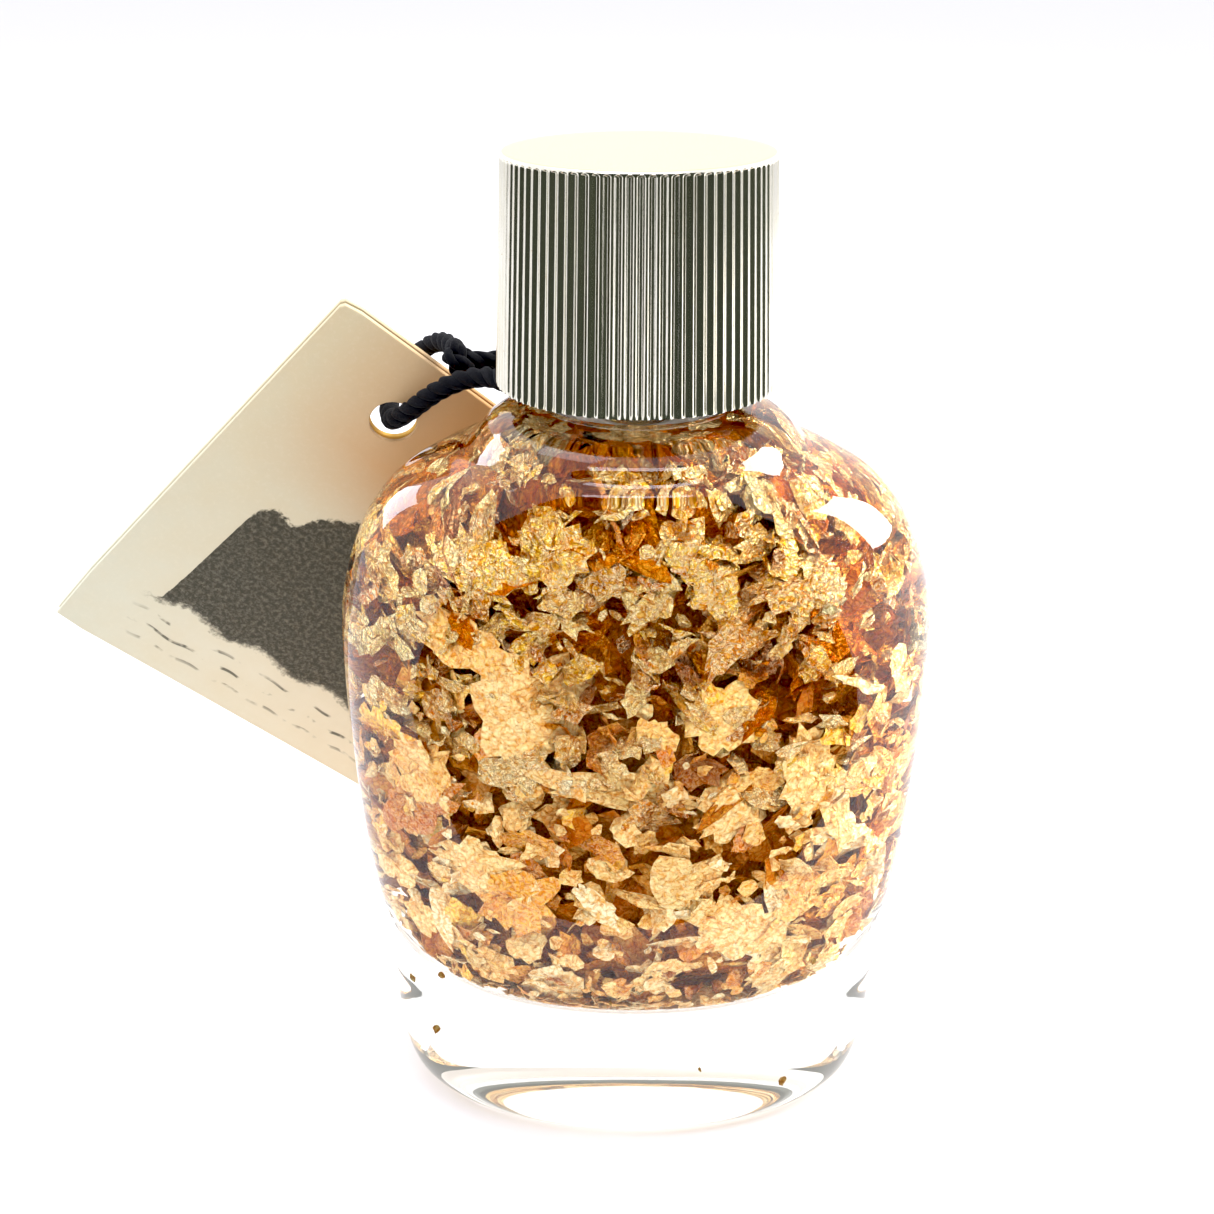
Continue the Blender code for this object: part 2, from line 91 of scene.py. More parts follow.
TAG_TURN = Euler([math.radians(angle) for angle in (111.96, 40.28, 18.53)], "XYZ")
HOLE_FROM_FOLD = 7.57
HOLE_FROM_TOP = 4.83
HOLE_RADIUS = 1.475
CORD_DIAMETER = 1.2
CORD_ROUTE = [
    (-10.6, 7.2, 47.0), (-9.1, 7.5, 46.85), (-7.2, 7.7, 46.9), (-5.3, 7.6, 46.95), (-3.4, 7.2, 46.95),
    (-1.5, 6.8, 47.15), (0.6, 6.65, 47.75), (2.8, 6.0, 48.15), (4.9, 4.4, 48.2), (6.3, 2.0, 48.2),
    (6.6, -0.6, 48.2), (5.9, -3.0, 48.2), (4.2, -5.1, 48.2), (1.8, -6.4, 48.2), (-0.9, -6.55, 48.2),
    (-3.5, -5.6, 48.2), (-5.3, -3.9, 48.05), (-6.25, -1.9, 47.65), (-6.75, 0.3, 47.15),
    (-7.35, 2.3, 46.9), (-8.5, 3.8, 46.85), (-9.8, 4.7, 46.55), (-11.1, 5.3, 46.0), (-12.4, 6.1, 45.1),
    (-13.7, 7.2, 43.9), (-14.75, 8.4, 42.95), (-15.35, 10.0, 42.4), (-15.65, 11.6, 42.65),
    (-15.45, 13.0, 43.55), (-14.65, 13.65, 44.85), (-13.4, 13.2, 46.15), (-12.25, 11.7, 46.95),
    (-11.35, 9.6, 47.2), (-10.6, 7.2, 47.0),
]


# ---------------------------------------------------------------- small helpers
def colour(code):
    """A linear colour from a hex code such as f2d9a0."""
    parts = [int(code[i:i + 2], 16) / 255 for i in (0, 2, 4)]
    return [p / 12.92 if p <= 0.04045 else ((p + 0.055) / 1.055) ** 2.4 for p in parts]


def smoothstep(low, high, value):
    share = np.clip((value - low) / (high - low), 0.0, 1.0)
    return share * share * (3 - 2 * share)


def spline(points, steps):
    """A smooth curve through rows of numbers, with so many steps between each two rows."""
    rows = np.array(points, float)
    before = np.vstack([rows[:1], rows[:-1]])
    after = np.vstack([rows[2:], rows[-1:]])
    shares = np.arange(steps)[:, None] / steps
    pieces = []
    for p0, p1, p2, p3 in zip(before, rows, rows[1:], after):
        pieces.append(0.5 * (
            2 * p1 + (p2 - p0) * shares + (2 * p0 - 5 * p1 + 4 * p2 - p3) * shares**2
            + (3 * p1 - p0 - 3 * p2 + p3) * shares**3
        ))
    return np.vstack(pieces + [rows[-1:]])


def even_steps(curve, gap):
    """The curve resampled at even steps of about gap, and its length."""
    lengths = np.concatenate([[0], np.cumsum(np.linalg.norm(np.diff(curve, axis=0), axis=1))])
    count = max(2, round(lengths[-1] / gap)) + 1
    places = np.linspace(0, lengths[-1], count)
    return np.stack([np.interp(places, lengths, curve[:, k]) for k in range(3)], 1), lengths[-1]


def oval(height, half_width, half_depth, squareness, sides):
    """A superellipse of points, counter-clockwise seen from above."""
    turn = np.arange(sides) * math.tau / sides
    across, along = np.cos(turn), np.sin(turn)
    x = half_width * np.sign(across) * np.abs(across) ** (2 / squareness)
    y = half_depth * np.sign(along) * np.abs(along) ** (2 / squareness)
    return np.stack([x, y, np.full(sides, float(height))], 1)


def facing_out(points, faces):
    """The faces, all turned over if the volume that they close comes out negative."""
    volume = 0.0
    for face in faces:
        first = points[face[0]]
        for i in range(1, len(face) - 1):
            volume += np.dot(first, np.cross(points[face[i]], points[face[i + 1]]))
    return [face[::-1] for face in faces] if volume < 0 else faces


def skin(rings):
    """Points and faces of a closed surface through rings; a ring of one point closes an end."""
    points, faces = np.vstack(rings), []
    starts = np.cumsum([0] + [len(ring) for ring in rings]).tolist()
    for k in range(len(rings) - 1):
        low, high, n, m = starts[k], starts[k + 1], len(rings[k]), len(rings[k + 1])
        for i in range(max(n, m)):
            j = (i + 1) % max(n, m)
            corners = [low + i % n, low + j % n, high + j % m, high + i % m]
            faces.append(list(dict.fromkeys(corners)))
    return points, facing_out(points, faces)


def add_piece(name, points, faces, materials, body=None, smooth=True, sharp=None):
    """A mesh object from points in millimetres, riding on a body unless it is part of the stage."""
    mesh = bpy.data.meshes.new(name)
    mesh.from_pydata((np.asarray(points, float) * MM).tolist(), [], faces)
    for item in materials:
        mesh.materials.append(item)
    if smooth:
        mesh.shade_smooth()
    if sharp is not None:
        mesh.set_sharp_from_angle(angle=math.radians(sharp))
    obj = bpy.data.objects.new(name, mesh)
    bpy.context.scene.collection.objects.link(obj)
    if body:
        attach(obj, body)
    return obj


def choose_materials(piece, numbers):
    """Gives each face the material of its number in the piece's list."""
    piece.data.polygons.foreach_set("material_index", np.asarray(numbers, np.int32))


def write_layer(piece, name, kind, values):
    """Stores a row of numbers for each vertex, which a material reads by name."""
    layer = piece.data.attributes.new(name, kind, "POINT")
    field = "color" if kind == "FLOAT_COLOR" else "vector"
    layer.data.foreach_set(field, np.asarray(values, np.float32).ravel())


class Recipe:
    """A material and short calls for the nodes it is made of."""

    def __init__(self, name):
        self.material = bpy.data.materials.new(name)
        self.material.use_nodes = True
        self.tree = self.material.node_tree
        self.shader = self.tree.nodes["Principled BSDF"]
        self.output = self.tree.nodes["Material Output"]

    def node(self, kind, inputs=(), **settings):
        made = self.tree.nodes.new(kind)
        for key, value in settings.items():
            setattr(made, key, value)
        for key, value in dict(inputs).items():
            self.feed(made.inputs[key], value)
        return made

    def feed(self, socket, value):
        if isinstance(value, bpy.types.NodeSocket):
            self.tree.links.new(value, socket)
        elif hasattr(value, "__len__") and len(value) == 3 and socket.type == "RGBA":
            socket.default_value = (*value, 1.0)
        else:
            socket.default_value = value

    def set(self, **values):
        names = {
            "base": "Base Color", "metallic": "Metallic", "roughness": "Roughness", "ior": "IOR",
            "transmission": "Transmission Weight", "normal": "Normal", "specular": "Specular IOR Level",
            "sheen": "Sheen Weight", "sheen_roughness": "Sheen Roughness",
            "emission": "Emission Color", "emission_strength": "Emission Strength",
        }
        for key, value in values.items():
            self.feed(self.shader.inputs[names[key]], value)
        return self

    def place(self):
        """Object coordinates in millimetres."""
        return self.vector("MULTIPLY", self.node("ShaderNodeTexCoord").outputs["Object"], (1 / MM,) * 3)

    def attribute(self, name, output="Color"):
        return self.node("ShaderNodeAttribute", attribute_name=name).outputs[output]

    def noise(self, where, scale, detail=3.0, roughness=0.5, output="Fac"):
        inputs = {"Vector": where, "Scale": scale, "Detail": detail, "Roughness": roughness}
        return self.node("ShaderNodeTexNoise", inputs).outputs[output]

    def voronoi(self, where, scale):
        return self.node("ShaderNodeTexVoronoi", {"Vector": where, "Scale": scale}).outputs["Distance"]

    def vector(self, operation, a, b, output=0):
        return self.node("ShaderNodeVectorMath", {0: a, 1: b}, operation=operation).outputs[output]

    def sum(self, operation, a, b=0.0, clamp=False):
        return self.node("ShaderNodeMath", {0: a, 1: b}, operation=operation, use_clamp=clamp).outputs[0]

    def product(self, a, b):
        return self.sum("MULTIPLY", a, b)

    def range(self, value, low, high, to_low=0.0, to_high=1.0):
        inputs = {"Value": value, "From Min": low, "From Max": high, "To Min": to_low, "To Max": to_high}
        return self.node("ShaderNodeMapRange", inputs, clamp=True).outputs[0]

    def mix(self, share, a, b, blend="MIX"):
        made = self.node("ShaderNodeMix", data_type="RGBA", blend_type=blend)
        self.feed(made.inputs[0], share)
        self.feed(made.inputs[6], a)
        self.feed(made.inputs[7], b)
        return made.outputs[2]

    def bump(self, height, strength, distance_mm, under=None):
        inputs = {"Height": height, "Strength": strength, "Distance": distance_mm * MM}
        if under is not None:
            inputs["Normal"] = under
        return self.node("ShaderNodeBump", inputs).outputs[0]

    def let_light_through(self, share):
        """Light reaches what is behind the glass in a straight line, so it is lit without caustics."""
        path = self.node("ShaderNodeLightPath").outputs
        clear = self.node("ShaderNodeBsdfTransparent", {0: share}).outputs[0]
        surface = self.shader.outputs[0]
        for ray in ("Is Diffuse Ray", "Is Shadow Ray"):
            surface = self.node("ShaderNodeMixShader", {0: path[ray], 1: surface, 2: clear}).outputs[0]
        self.feed(self.output.inputs["Surface"], surface)
        return self


# ---------------------------------------------------------------- view, camera, floor, light
BLACK_LEVEL = 0.008
WHITE_LEVEL = 0.72
CAMERA_LENS = 50.41
CAMERA_SENSOR = 36.0
CAMERA_PLACE = (-0.0017165, -0.09339, 0.0742)       # metres
CAMERA_TILT = 66.6                                  # degrees up from straight down
ROOM_LOW = (1.0, 0.99, 0.97)
ROOM_HIGH = (0.93, 0.93, 1.0)
ROOM_STRENGTH = 1.12
FLOOR_HALF = 3000.0
FLAG_HALF_WIDTH = 210
FLAG_DISTANCE = 150
FLAG_HEIGHT = 300
FLAG_NEAR_HALF_WIDTH = 60
FLAG_NEAR_DISTANCE = 26
LAMP_AIM = (0.0, 0.0, 0.03)                         # metres
LAMPS = {       # place in metres, width and depth in metres, watts, tint
    "soft_top": ((-0.10, 0.12, 0.42), 0.30, 0.22, 0.45, (0.97, 0.97, 1.0)),
    "back_left": ((-0.36, 0.29, 0.18), 0.20, 0.16, 0.5, (0.90, 0.90, 1.0)),
    "strip_front": ((0.0, -0.20, 0.42), 0.40, 0.14, 0.85, (0.90, 0.89, 1.0)),
    "side_right": ((0.30, 0.08, 0.16), 0.18, 0.18, 1.4, (1.0, 0.96, 0.88)),
}


def set_view():
    """Plain colours; the levels stretch them, so blacks stay deep and the paper comes out white."""
    view = bpy.context.scene.view_settings
    view.view_transform = "Standard"
    view.use_curve_mapping = True
    view.curve_mapping.black_level = (BLACK_LEVEL,) * 3
    view.curve_mapping.white_level = (WHITE_LEVEL,) * 3
    view.curve_mapping.update()


def make_camera():
    data = bpy.data.cameras.new("camera")
    data.lens = CAMERA_LENS
    data.sensor_width = CAMERA_SENSOR
    data.clip_start = 0.005
    data.clip_end = 20.0
    camera = bpy.data.objects.new("camera", data)
    camera.location = CAMERA_PLACE
    camera.rotation_euler = (math.radians(CAMERA_TILT), 0.0, 0.0)
    bpy.context.scene.collection.objects.link(camera)
    bpy.context.scene.camera = camera


def make_world():
    """A white room, a little cooler overhead."""
    world = bpy.data.worlds.new("white_room")
    bpy.context.scene.world = world
    world.use_nodes = True
    tree = world.node_tree
    back = tree.nodes["Background"]
    where = tree.nodes.new("ShaderNodeTexCoord")
    split = tree.nodes.new("ShaderNodeSeparateXYZ")
    ramp = tree.nodes.new("ShaderNodeValToRGB")
    tree.links.new(where.outputs["Generated"], split.inputs[0])
    tree.links.new(split.outputs["Z"], ramp.inputs[0])
    ramp.color_ramp.elements[0].color = (*ROOM_LOW, 1)
    ramp.color_ramp.elements[1].color = (*ROOM_HIGH, 1)
    tree.links.new(ramp.outputs[0], back.inputs["Color"])
    back.inputs["Strength"].default_value = ROOM_STRENGTH


def make_floor():
    half = FLOOR_HALF
    points = [(-half, -half, 0), (half, -half, 0), (half, half, 0), (-half, half, 0)]
    paper = Recipe("floor_white")
    grain = paper.noise(paper.place(), 0.8, 2.0)
    paper.set(base=paper.mix(grain, (0.63, 0.63, 0.645), (0.65, 0.65, 0.66)), roughness=0.9, specular=0.1)
    add_piece("floor", points, [[0, 1, 2, 3]], [paper.material])


def make_flags():
    """Dark boards in front and on the floor that only mirrors see, so metal and glass have dark to show."""
    dark = Recipe("flag_dark")
    grain = dark.noise(dark.place(), 0.05, 2.0)
    dark.set(base=dark.mix(grain, (0.024, 0.028, 0.021), (0.032, 0.036, 0.028)), roughness=1.0, specular=0.0)
    half, far, near = FLAG_HALF_WIDTH, -FLAG_DISTANCE, -FLAG_NEAR_DISTANCE
    foot = [(-half, far, 1), (half, far, 1)]
    upright = foot + [(half, far, FLAG_HEIGHT), (-half, far, FLAG_HEIGHT)]
    lying = foot + [(FLAG_NEAR_HALF_WIDTH, near, 1), (-FLAG_NEAR_HALF_WIDTH, near, 1)]
    for name, points in (("flag_upright", upright), ("flag_lying", lying)):
        flag = add_piece(name, points, [[0, 1, 2, 3]], [dark.material])
        flag.visible_camera = False
        flag.visible_diffuse = False
        flag.visible_shadow = False
        flag.visible_transmission = name == "flag_upright"


def make_lights():
    for name, (place, width, depth, watts, tint) in LAMPS.items():
        data = bpy.data.lights.new(name, "AREA")
        data.shape = "RECTANGLE"
        data.size = width
        data.size_y = depth
        data.energy = watts
        data.color = tint
        lamp = bpy.data.objects.new(name, data)
        lamp.location = place
        lamp.rotation_euler = (Vector(LAMP_AIM) - Vector(place)).to_track_quat("-Z", "Y").to_euler()
        lamp.visible_camera = False
        bpy.context.scene.collection.objects.link(lamp)


# ---------------------------------------------------------------- glass and liquid
GLASS_IOR = 1.5
WET_GLASS_IOR = 1.07            # what is left of the glass's bend where it meets the liquid
LIQUID_IOR = 1.4
PLAIN_TINT = (0.985, 0.992, 0.985)
FOOT_HEIGHT = 6.5
FOOT_TINT = (0.95, 0.965, 0.945)
FOOT_SHADE = (0.60, 0.54, 0.45)
FOOT_GLOW = (0.86, 0.86, 0.76)
FOOT_GLOW_STRENGTH = 0.1
BOTTLE_SIDES = 192
LIQUID_SIDES = 96
LIP_STEPS = 6
NECK_STEP = 0.13
THREAD_FADE = 0.14              # of a turn, at each end of the thread
BORE_HEIGHTS = (55.0, 52.0, 49.5, 48.2)
MENISCUS = ((0.985, 0.0), (0.94, 0.16), (0.85, 0.26), (0.7, 0.32), (0.4, 0.35))     # share of the edge, drop
MENISCUS_DROP = 0.36


def glass_recipe(name, ior, tint=PLAIN_TINT, share=(1.0, 1.0, 1.0)):
    glass = Recipe(name)
    ripple = glass.noise(glass.place(), 0.22, 2.0)
    glass.set(base=tint, roughness=0.0, transmission=1.0, ior=ior, normal=glass.bump(ripple, 0.05, 0.25))
    return glass.let_light_through(share)


def foot_material():
    """Thick glass with a coloured shadow, and a faint glow for the light that bounces inside it."""
    foot = glass_recipe("bottle_glass_foot", GLASS_IOR, FOOT_TINT, FOOT_SHADE)
    foot.set(emission=FOOT_GLOW, emission_strength=FOOT_GLOW_STRENGTH)
    return foot.material


def thread_height(turn, height):
    """How far the neck's thread stands out at a turn, in radians, and a height, from 0 to 1."""
    tallest = np.zeros_like(turn)
    for lap in range(math.ceil(THREAD_TURNS)):
        along = turn / math.tau + lap
        middle = THREAD_START + THREAD_PITCH * along
        fade = np.clip(np.minimum(along, THREAD_TURNS - along) / THREAD_FADE, 0, 1)
        ridge = 1 - smoothstep(0.2, 0.58, np.abs(height - middle))
        tallest = np.maximum(tallest, ridge * fade)
    return tallest


def lip_rings(sides):
    """The rounded mouth: a quarter turn up from the neck, then a quarter turn down into the bore."""
    bends = [math.pi / 2 * step / LIP_STEPS for step in range(LIP_STEPS + 1)]
    rings = []
    for bend in bends:
        height = MOUTH_HEIGHT - MOUTH_ROUNDING * (1 - math.sin(bend))
        radius = NECK_RADIUS - MOUTH_ROUNDING * (1 - math.cos(bend))
        rings.append(oval(height, radius, radius, 2.0, sides))
    for bend in bends:
        height = MOUTH_HEIGHT - MOUTH_ROUNDING * (1 - math.cos(bend))
        radius = BORE_RADIUS + MOUTH_ROUNDING * (1 - math.sin(bend))
        rings.append(oval(height, radius, radius, 2.0, sides))
    return rings


def make_bottle():
    """The outside from the push-up to the mouth, then the inside down to the cavity's floor."""
    sides = BOTTLE_SIDES
    turn = np.arange(sides) * math.tau / sides
    rings = [np.array([[0, 0, PUSH_UP_HEIGHT]])]
    rings += [oval(*row, sides) for row in spline([(PUSH_UP_HEIGHT, 0.3, 0.15, 2.0)] + PUSH_UP, 5)]
    rings += [oval(*row, sides) for row in spline([(0.0, 11.4, 5.5, 2.0)] + BODY_OUTLINE, OUTLINE_STEPS)]
    for height in np.arange(NECK_FOOT, MOUTH_HEIGHT - MOUTH_ROUNDING, NECK_STEP):
        radius = NECK_RADIUS + (THREAD_CREST_RADIUS - NECK_RADIUS) * thread_height(turn, height)
        rings.append(np.stack([radius * np.cos(turn), radius * np.sin(turn), np.full(sides, height)], 1))
    rings += lip_rings(sides)
    rings += [oval(height, BORE_RADIUS, BORE_RADIUS, 2.0, sides) for height in BORE_HEIGHTS]
    inside = spline(CAVITY_OUTLINE, OUTLINE_STEPS)[::-1]
    rings += [oval(*row, sides) for row in inside if row[0] >= LIQUID_TOP]
    first_wet = (len(rings) - 1) * sides
    rings += [oval(*row, sides) for row in inside if row[0] < LIQUID_TOP]
    floor = spline([(CAVITY_FLOOR, 0.4, 0.2, 2.0), (8.1, 3.4, 1.7, 2.0), CAVITY_OUTLINE[0]], 4)[:-1]
    rings += [oval(*row, sides) for row in reversed(floor)]
    rings += [np.array([[0, 0, CAVITY_FLOOR]])]
    points, faces = skin(rings)
    kinds = [
        glass_recipe("bottle_glass", GLASS_IOR).material,
        glass_recipe("bottle_glass_wet", WET_GLASS_IOR).material,
        foot_material(),
    ]
    bottle = add_piece("bottle_glass_body", points, faces, kinds, "bottle", sharp=50)
    dry, wet, foot = range(3)
    lowest = np.array([points[face, 2].min() for face in faces])
    highest = np.array([points[face, 2].max() for face in faces])
    chosen = np.where(np.arange(len(faces)) >= first_wet, wet, dry)
    chosen[(chosen == dry) & (lowest < FOOT_HEIGHT)] = foot
    chosen[highest < PUSH_UP_HEIGHT + 0.01] = wet       # the sole, so that it doesn't act as a mirror
    choose_materials(bottle, chosen)
    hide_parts("glass_bottle")


def make_liquid():
    """The liquid; its sides meet wet glass, so only its top bends light."""
    sides = LIQUID_SIDES
    rows = [row for row in spline(CAVITY_OUTLINE, OUTLINE_STEPS) if row[0] < LIQUID_TOP - 0.25]
    rings = [np.array([[0, 0, CAVITY_FLOOR + LIQUID_GAP]])]
    for height, half_width, half_depth, squareness in rows:
        lift = LIQUID_GAP * max(0.0, 1 - (height - CAVITY_FLOOR) / 4)
        rings.append(oval(height + lift, half_width - LIQUID_GAP, half_depth - LIQUID_GAP, squareness, sides))
    edge = rows[-1][1] - LIQUID_GAP
    for share, drop in MENISCUS:
        rings.append(oval(LIQUID_TOP - drop, edge * share, edge * share, 2.0, sides))
    rings.append(np.array([[0, 0, LIQUID_TOP - MENISCUS_DROP]]))
    points, faces = skin(rings)
    side = glass_recipe("liquid_in_glass", 1.0, (1.0, 0.985, 0.90)).material
    top = glass_recipe("liquid_top", LIQUID_IOR, (1.0, 0.99, 0.96)).material
    liquid = add_piece("fill_liquid_body", points, faces, [side, top], "bottle")
    middles = np.array([points[face].mean(0) for face in faces])
    near_top = middles[:, 2] > LIQUID_TOP - 0.5
    choose_materials(liquid, near_top & (np.hypot(middles[:, 0], middles[:, 1]) < edge * 0.99))
    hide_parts("fill_liquid")


# ---------------------------------------------------------------- gold leaf
LEAF_COLOURS = {
    "white": colour("fff2c8"), "cream": colour("fbe09e"), "pale": colour("f6cf7c"),
    "yellow": colour("ffd858"), "gold": colour("efb448"), "orange": colour("e39c34"),
    "amber": colour("cf8428"), "brown": colour("ac6826"), "grey": colour("94906a"),
}
LOWER_MIX = dict(white=24, cream=38, pale=20, yellow=3, gold=7, orange=3, amber=2, brown=1, grey=1)
UPPER_MIX = dict(white=14, cream=20, pale=16, yellow=24, gold=14, orange=7, amber=4, brown=1, grey=1)
# Painted shade: leaves further behind the glass and the core take browner, warmer colours for the shade and
# bounced gold light deep in the pile.
SHADED_MIX = dict(cream=8, pale=18, gold=24, orange=20, amber=20, brown=10)
SHADED_FROM = 0.85              # this far behind the glass
DEEP_SHADE_LOWER = colour("cc8838")
DEEP_SHADE_UPPER = colour("e08a1c")
CORE_SHADE_LOWER = colour("dc9242")
CORE_SHADE_UPPER = colour("f09624")
CAVITY_ROWS = spline([(CAVITY_FLOOR, 2.0, 1.0, 2.0)] + CAVITY_OUTLINE, OUTLINE_STEPS)
LARGE_LEAF = 2.2
GREY_LEAF_LARGEST = 0.8
UPPER_FROM = 28
SHOULDER_FROM = 41
SHOULDER_CROWDING = 1.6
WIDEST = 15.5
LEAF_LOW = 8.2
LEAF_HIGH = 44.8
LEAF_THICKNESS = 0.05
SCATTERS = (    # tries, nearest and furthest from the glass, smallest and largest radius, mesh cell
    (700, (1.4, 3.0), (1.2, 3.0), 0.62),
    (1300, (0.5, 1.8), (0.5, 2.1), 0.42),
    (1900, (0.1, 0.8), (0.35, 1.7), 0.34),
    (55, (0.1, 0.7), (1.8, 3.2), 0.36),
)
FLOOR_LEAVES = (170, 8.85, 10.2, 4.9, 1.0)      # count, level, half width, half depth, rise at the edge
CEILING_LEAVES = (90, 44.2, 6.6, 6.6, -0.6)
CHOSEN_CELL = 0.34
CHOSEN_LEAVES = (   # across, height, depth behind the glass, radius, stretch, colour
    (-6.6, 31.3, 0.15, 4.6, 1.05, "cream"), (-9.6, 34.8, 0.3, 2.6, 1.3, "pale"),
    (12.6, 31.9, 0.15, 2.2, 1.0, "white"), (-8.6, 39.2, 0.2, 3.0, 1.2, "yellow"),
    (-4.6, 40.6, 0.4, 2.4, 1.1, "yellow"), (3.6, 40.0, 0.2, 3.0, 1.4, "yellow"),
    (8.6, 38.6, 0.3, 2.6, 1.2, "gold"), (5.6, 36.2, 0.3, 2.4, 1.7, "gold"),
    (10.6, 36.9, 0.15, 0.9, 1.0, "grey"), (-2.1, 18.0, 0.15, 1.9, 0.7, "white"),
    (6.3, 15.9, 0.15, 3.0, 1.3, "cream"), (-9.5, 20.0, 0.2, 2.6, 1.2, "cream"),
    (6.0, 24.5, 0.15, 2.6, 1.2, "cream"), (9.8, 26.6, 0.3, 2.6, 1.4, "cream"),
    (1.2, 29.8, 0.2, 1.8, 1.1, "pale"), (-12.4, 26.2, 0.2, 2.6, 0.8, "pale"),
    (12.4, 21.5, 0.2, 2.4, 1.0, "white"), (0.4, 24.0, 0.5, 2.2, 1.2, "gold"),
)
STRAY_SPECKS = (    # across, height, radius
    (-11.9, 11.7, 0.42), (-1.5, 11.6, 0.2), (-12.4, 7.1, 0.42), (9.3, 4.0, 0.6), (10.8, 13.4, 0.28),
    (-13.9, 10.2, 0.36), (4.0, 6.2, 0.16),
)
SPECK_COLOUR = colour("8f7a48")
SPECK_LIFT = 0.09
CORE_SIDES = 128
CORE_SHRINK = 2.7               # how far the core stays behind the cavity's wall
CORE_BOTTOM = 10.6
CORE_HEIGHTS = np.arange(11.0, 43.0, 0.5)
CORE_TOP = 43.3


def rows_at(outline, height):
    """Half width, half depth and squareness of an outline at these heights."""
    return [np.interp(height, outline[:, 0], outline[:, k]) for k in (1, 2, 3)]


def cavity_at(height):
    return rows_at(CAVITY_ROWS, height)


def hold_inside(points, margin):
    """Points pushed in wherever they would come nearer to the glass than the margin."""
    points[:, 2] = np.clip(points[:, 2], LEAF_LOW + margin, LEAF_HIGH - margin)
    half_width, half_depth, squareness = cavity_at(points[:, 2] - 0.3 * margin)
    half_width, half_depth = np.maximum(half_width - margin, 0.3), np.maximum(half_depth - margin, 0.3)
    across, along = np.abs(points[:, 0]) / half_width, np.abs(points[:, 1]) / half_depth
    pull = np.maximum(across**squareness + along**squareness, 1.0) ** (-1 / squareness)
    points[:, 0] *= pull
    points[:, 1] *= pull
    return points


def zigzag(value):
    """A wave of straight slopes between 0 and 1, as a folded sheet has."""
    return np.abs(2 * (value - np.floor(value + 0.5)))


def torn_outline(dice, radius, stretch, spokes, rings):
    """A leaf with a torn edge, still flat: its middle, then rings of points out to the edge; and its dice."""
    corners = dice.randint(4, 8) if radius < LARGE_LEAF else dice.randint(9, 13)
    corner_turns = sorted(dice.uniform(0, math.tau) for _ in range(corners))
    least = 0.45 if radius < LARGE_LEAF else 0.7
    corner_reach = [dice.uniform(least, 1.05) for _ in range(corners)]
    row_dice = np.random.default_rng(dice.randrange(1 << 30))
    turn = (np.arange(spokes) + row_dice.uniform(-0.3, 0.3, spokes)) * math.tau / spokes
    wrapped_turns = [corner_turns[-1] - math.tau] + corner_turns + [corner_turns[0] + math.tau]
    wrapped_reach = [corner_reach[-1]] + corner_reach + [corner_reach[0]]
    rim = radius * np.interp(turn % math.tau, wrapped_turns, wrapped_reach)
    rim *= row_dice.uniform(0.72, 1.12, spokes)
    shares = np.linspace(0, 1, rings + 1)[1:]
    spoke = np.stack([rim * np.cos(turn), rim * np.sin(turn)], 1)
    loose = 0.32 * radius / rings
    flat = [spoke * share + row_dice.uniform(-loose, loose, spoke.shape) * (share < 0.99) for share in shares]
    return np.vstack([np.zeros((1, 2))] + flat) * np.array([stretch, 1 / stretch]), row_dice


def crumpled(dice, radius, stretch, creases, steepness, fine, cell):
    """One torn, crumpled leaf lying in its own plane: points, faces, with both its sides."""
    spokes = int(np.clip(round(math.tau * 0.62 * radius / cell), 9, 34))
    rings = int(np.clip(round(0.85 * radius / cell), 2, 12))
    flat, row_dice = torn_outline(dice, radius, stretch, spokes, rings)

    def along_heading():
        heading = dice.uniform(0, math.tau)
        return flat[:, 0] * math.cos(heading) + flat[:, 1] * math.sin(heading)

    lift = row_dice.uniform(-0.5, 0.5, len(flat)) * fine * 0.45
    for _ in range(creases):
        distance = along_heading() - dice.uniform(-0.7, 0.7) * radius
        lift += dice.uniform(-steepness, steepness) * np.maximum(distance, 0)
    for wave in (1.3, 0.8, 0.5):
        distance = along_heading()
        sway = 0.5 * np.sin(flat[:, 0] * 1.7 + flat[:, 1] * 1.1 + dice.uniform(0, 6))
        lift += fine * wave * 0.55 * zigzag(distance / wave / 1.6 + sway)
    lift -= lift.mean()
    sheet = np.column_stack([flat, lift])
    half = np.array([0, 0, LEAF_THICKNESS / 2])
    points = np.vstack([sheet + half, sheet - half])
    faces, base = [], len(sheet)
    for k in range(rings):
        for i in range(spokes):
            j = (i + 1) % spokes
            if k == 0:
                split = [[0, 1 + i, 1 + j]]
            else:
                a, b = 1 + (k - 1) * spokes, 1 + k * spokes
                split = [[a + i, b + i, b + j], [a + i, b + j, a + j]]
            faces += split + [[base + v for v in reversed(face)] for face in split]
    last = 1 + (rings - 1) * spokes
    for i in range(spokes):
        j = (i + 1) % spokes
        faces.append([last + j, last + i, base + last + i, base + last + j])
    return points, faces


def leaf_colour(dice, height, depth):
    """A leaf's colour: creamier low down, yellower high up, and painted shade that makes it browner away from
    the glass.
    """
    share = float(smoothstep(25, 35, height))
    mix = SHADED_MIX if depth > SHADED_FROM else UPPER_MIX if dice.random() < share else LOWER_MIX
    picked = np.array(LEAF_COLOURS[dice.choices(list(mix), list(mix.values()))[0]]) * dice.uniform(0.88, 1.04)
    picked = picked * (1, 1.0 - 0.06 * share, 1.0 - 0.4 * share)
    # Painted shade: the colour turns towards the deep colour the further the leaf lies behind the glass.
    deep = np.array(DEEP_SHADE_LOWER) * (1 - share) + np.array(DEEP_SHADE_UPPER) * share
    blend = min(0.9, max(0.0, (depth - 1.0) / 1.6))
    return picked * (1 - blend) + deep * blend


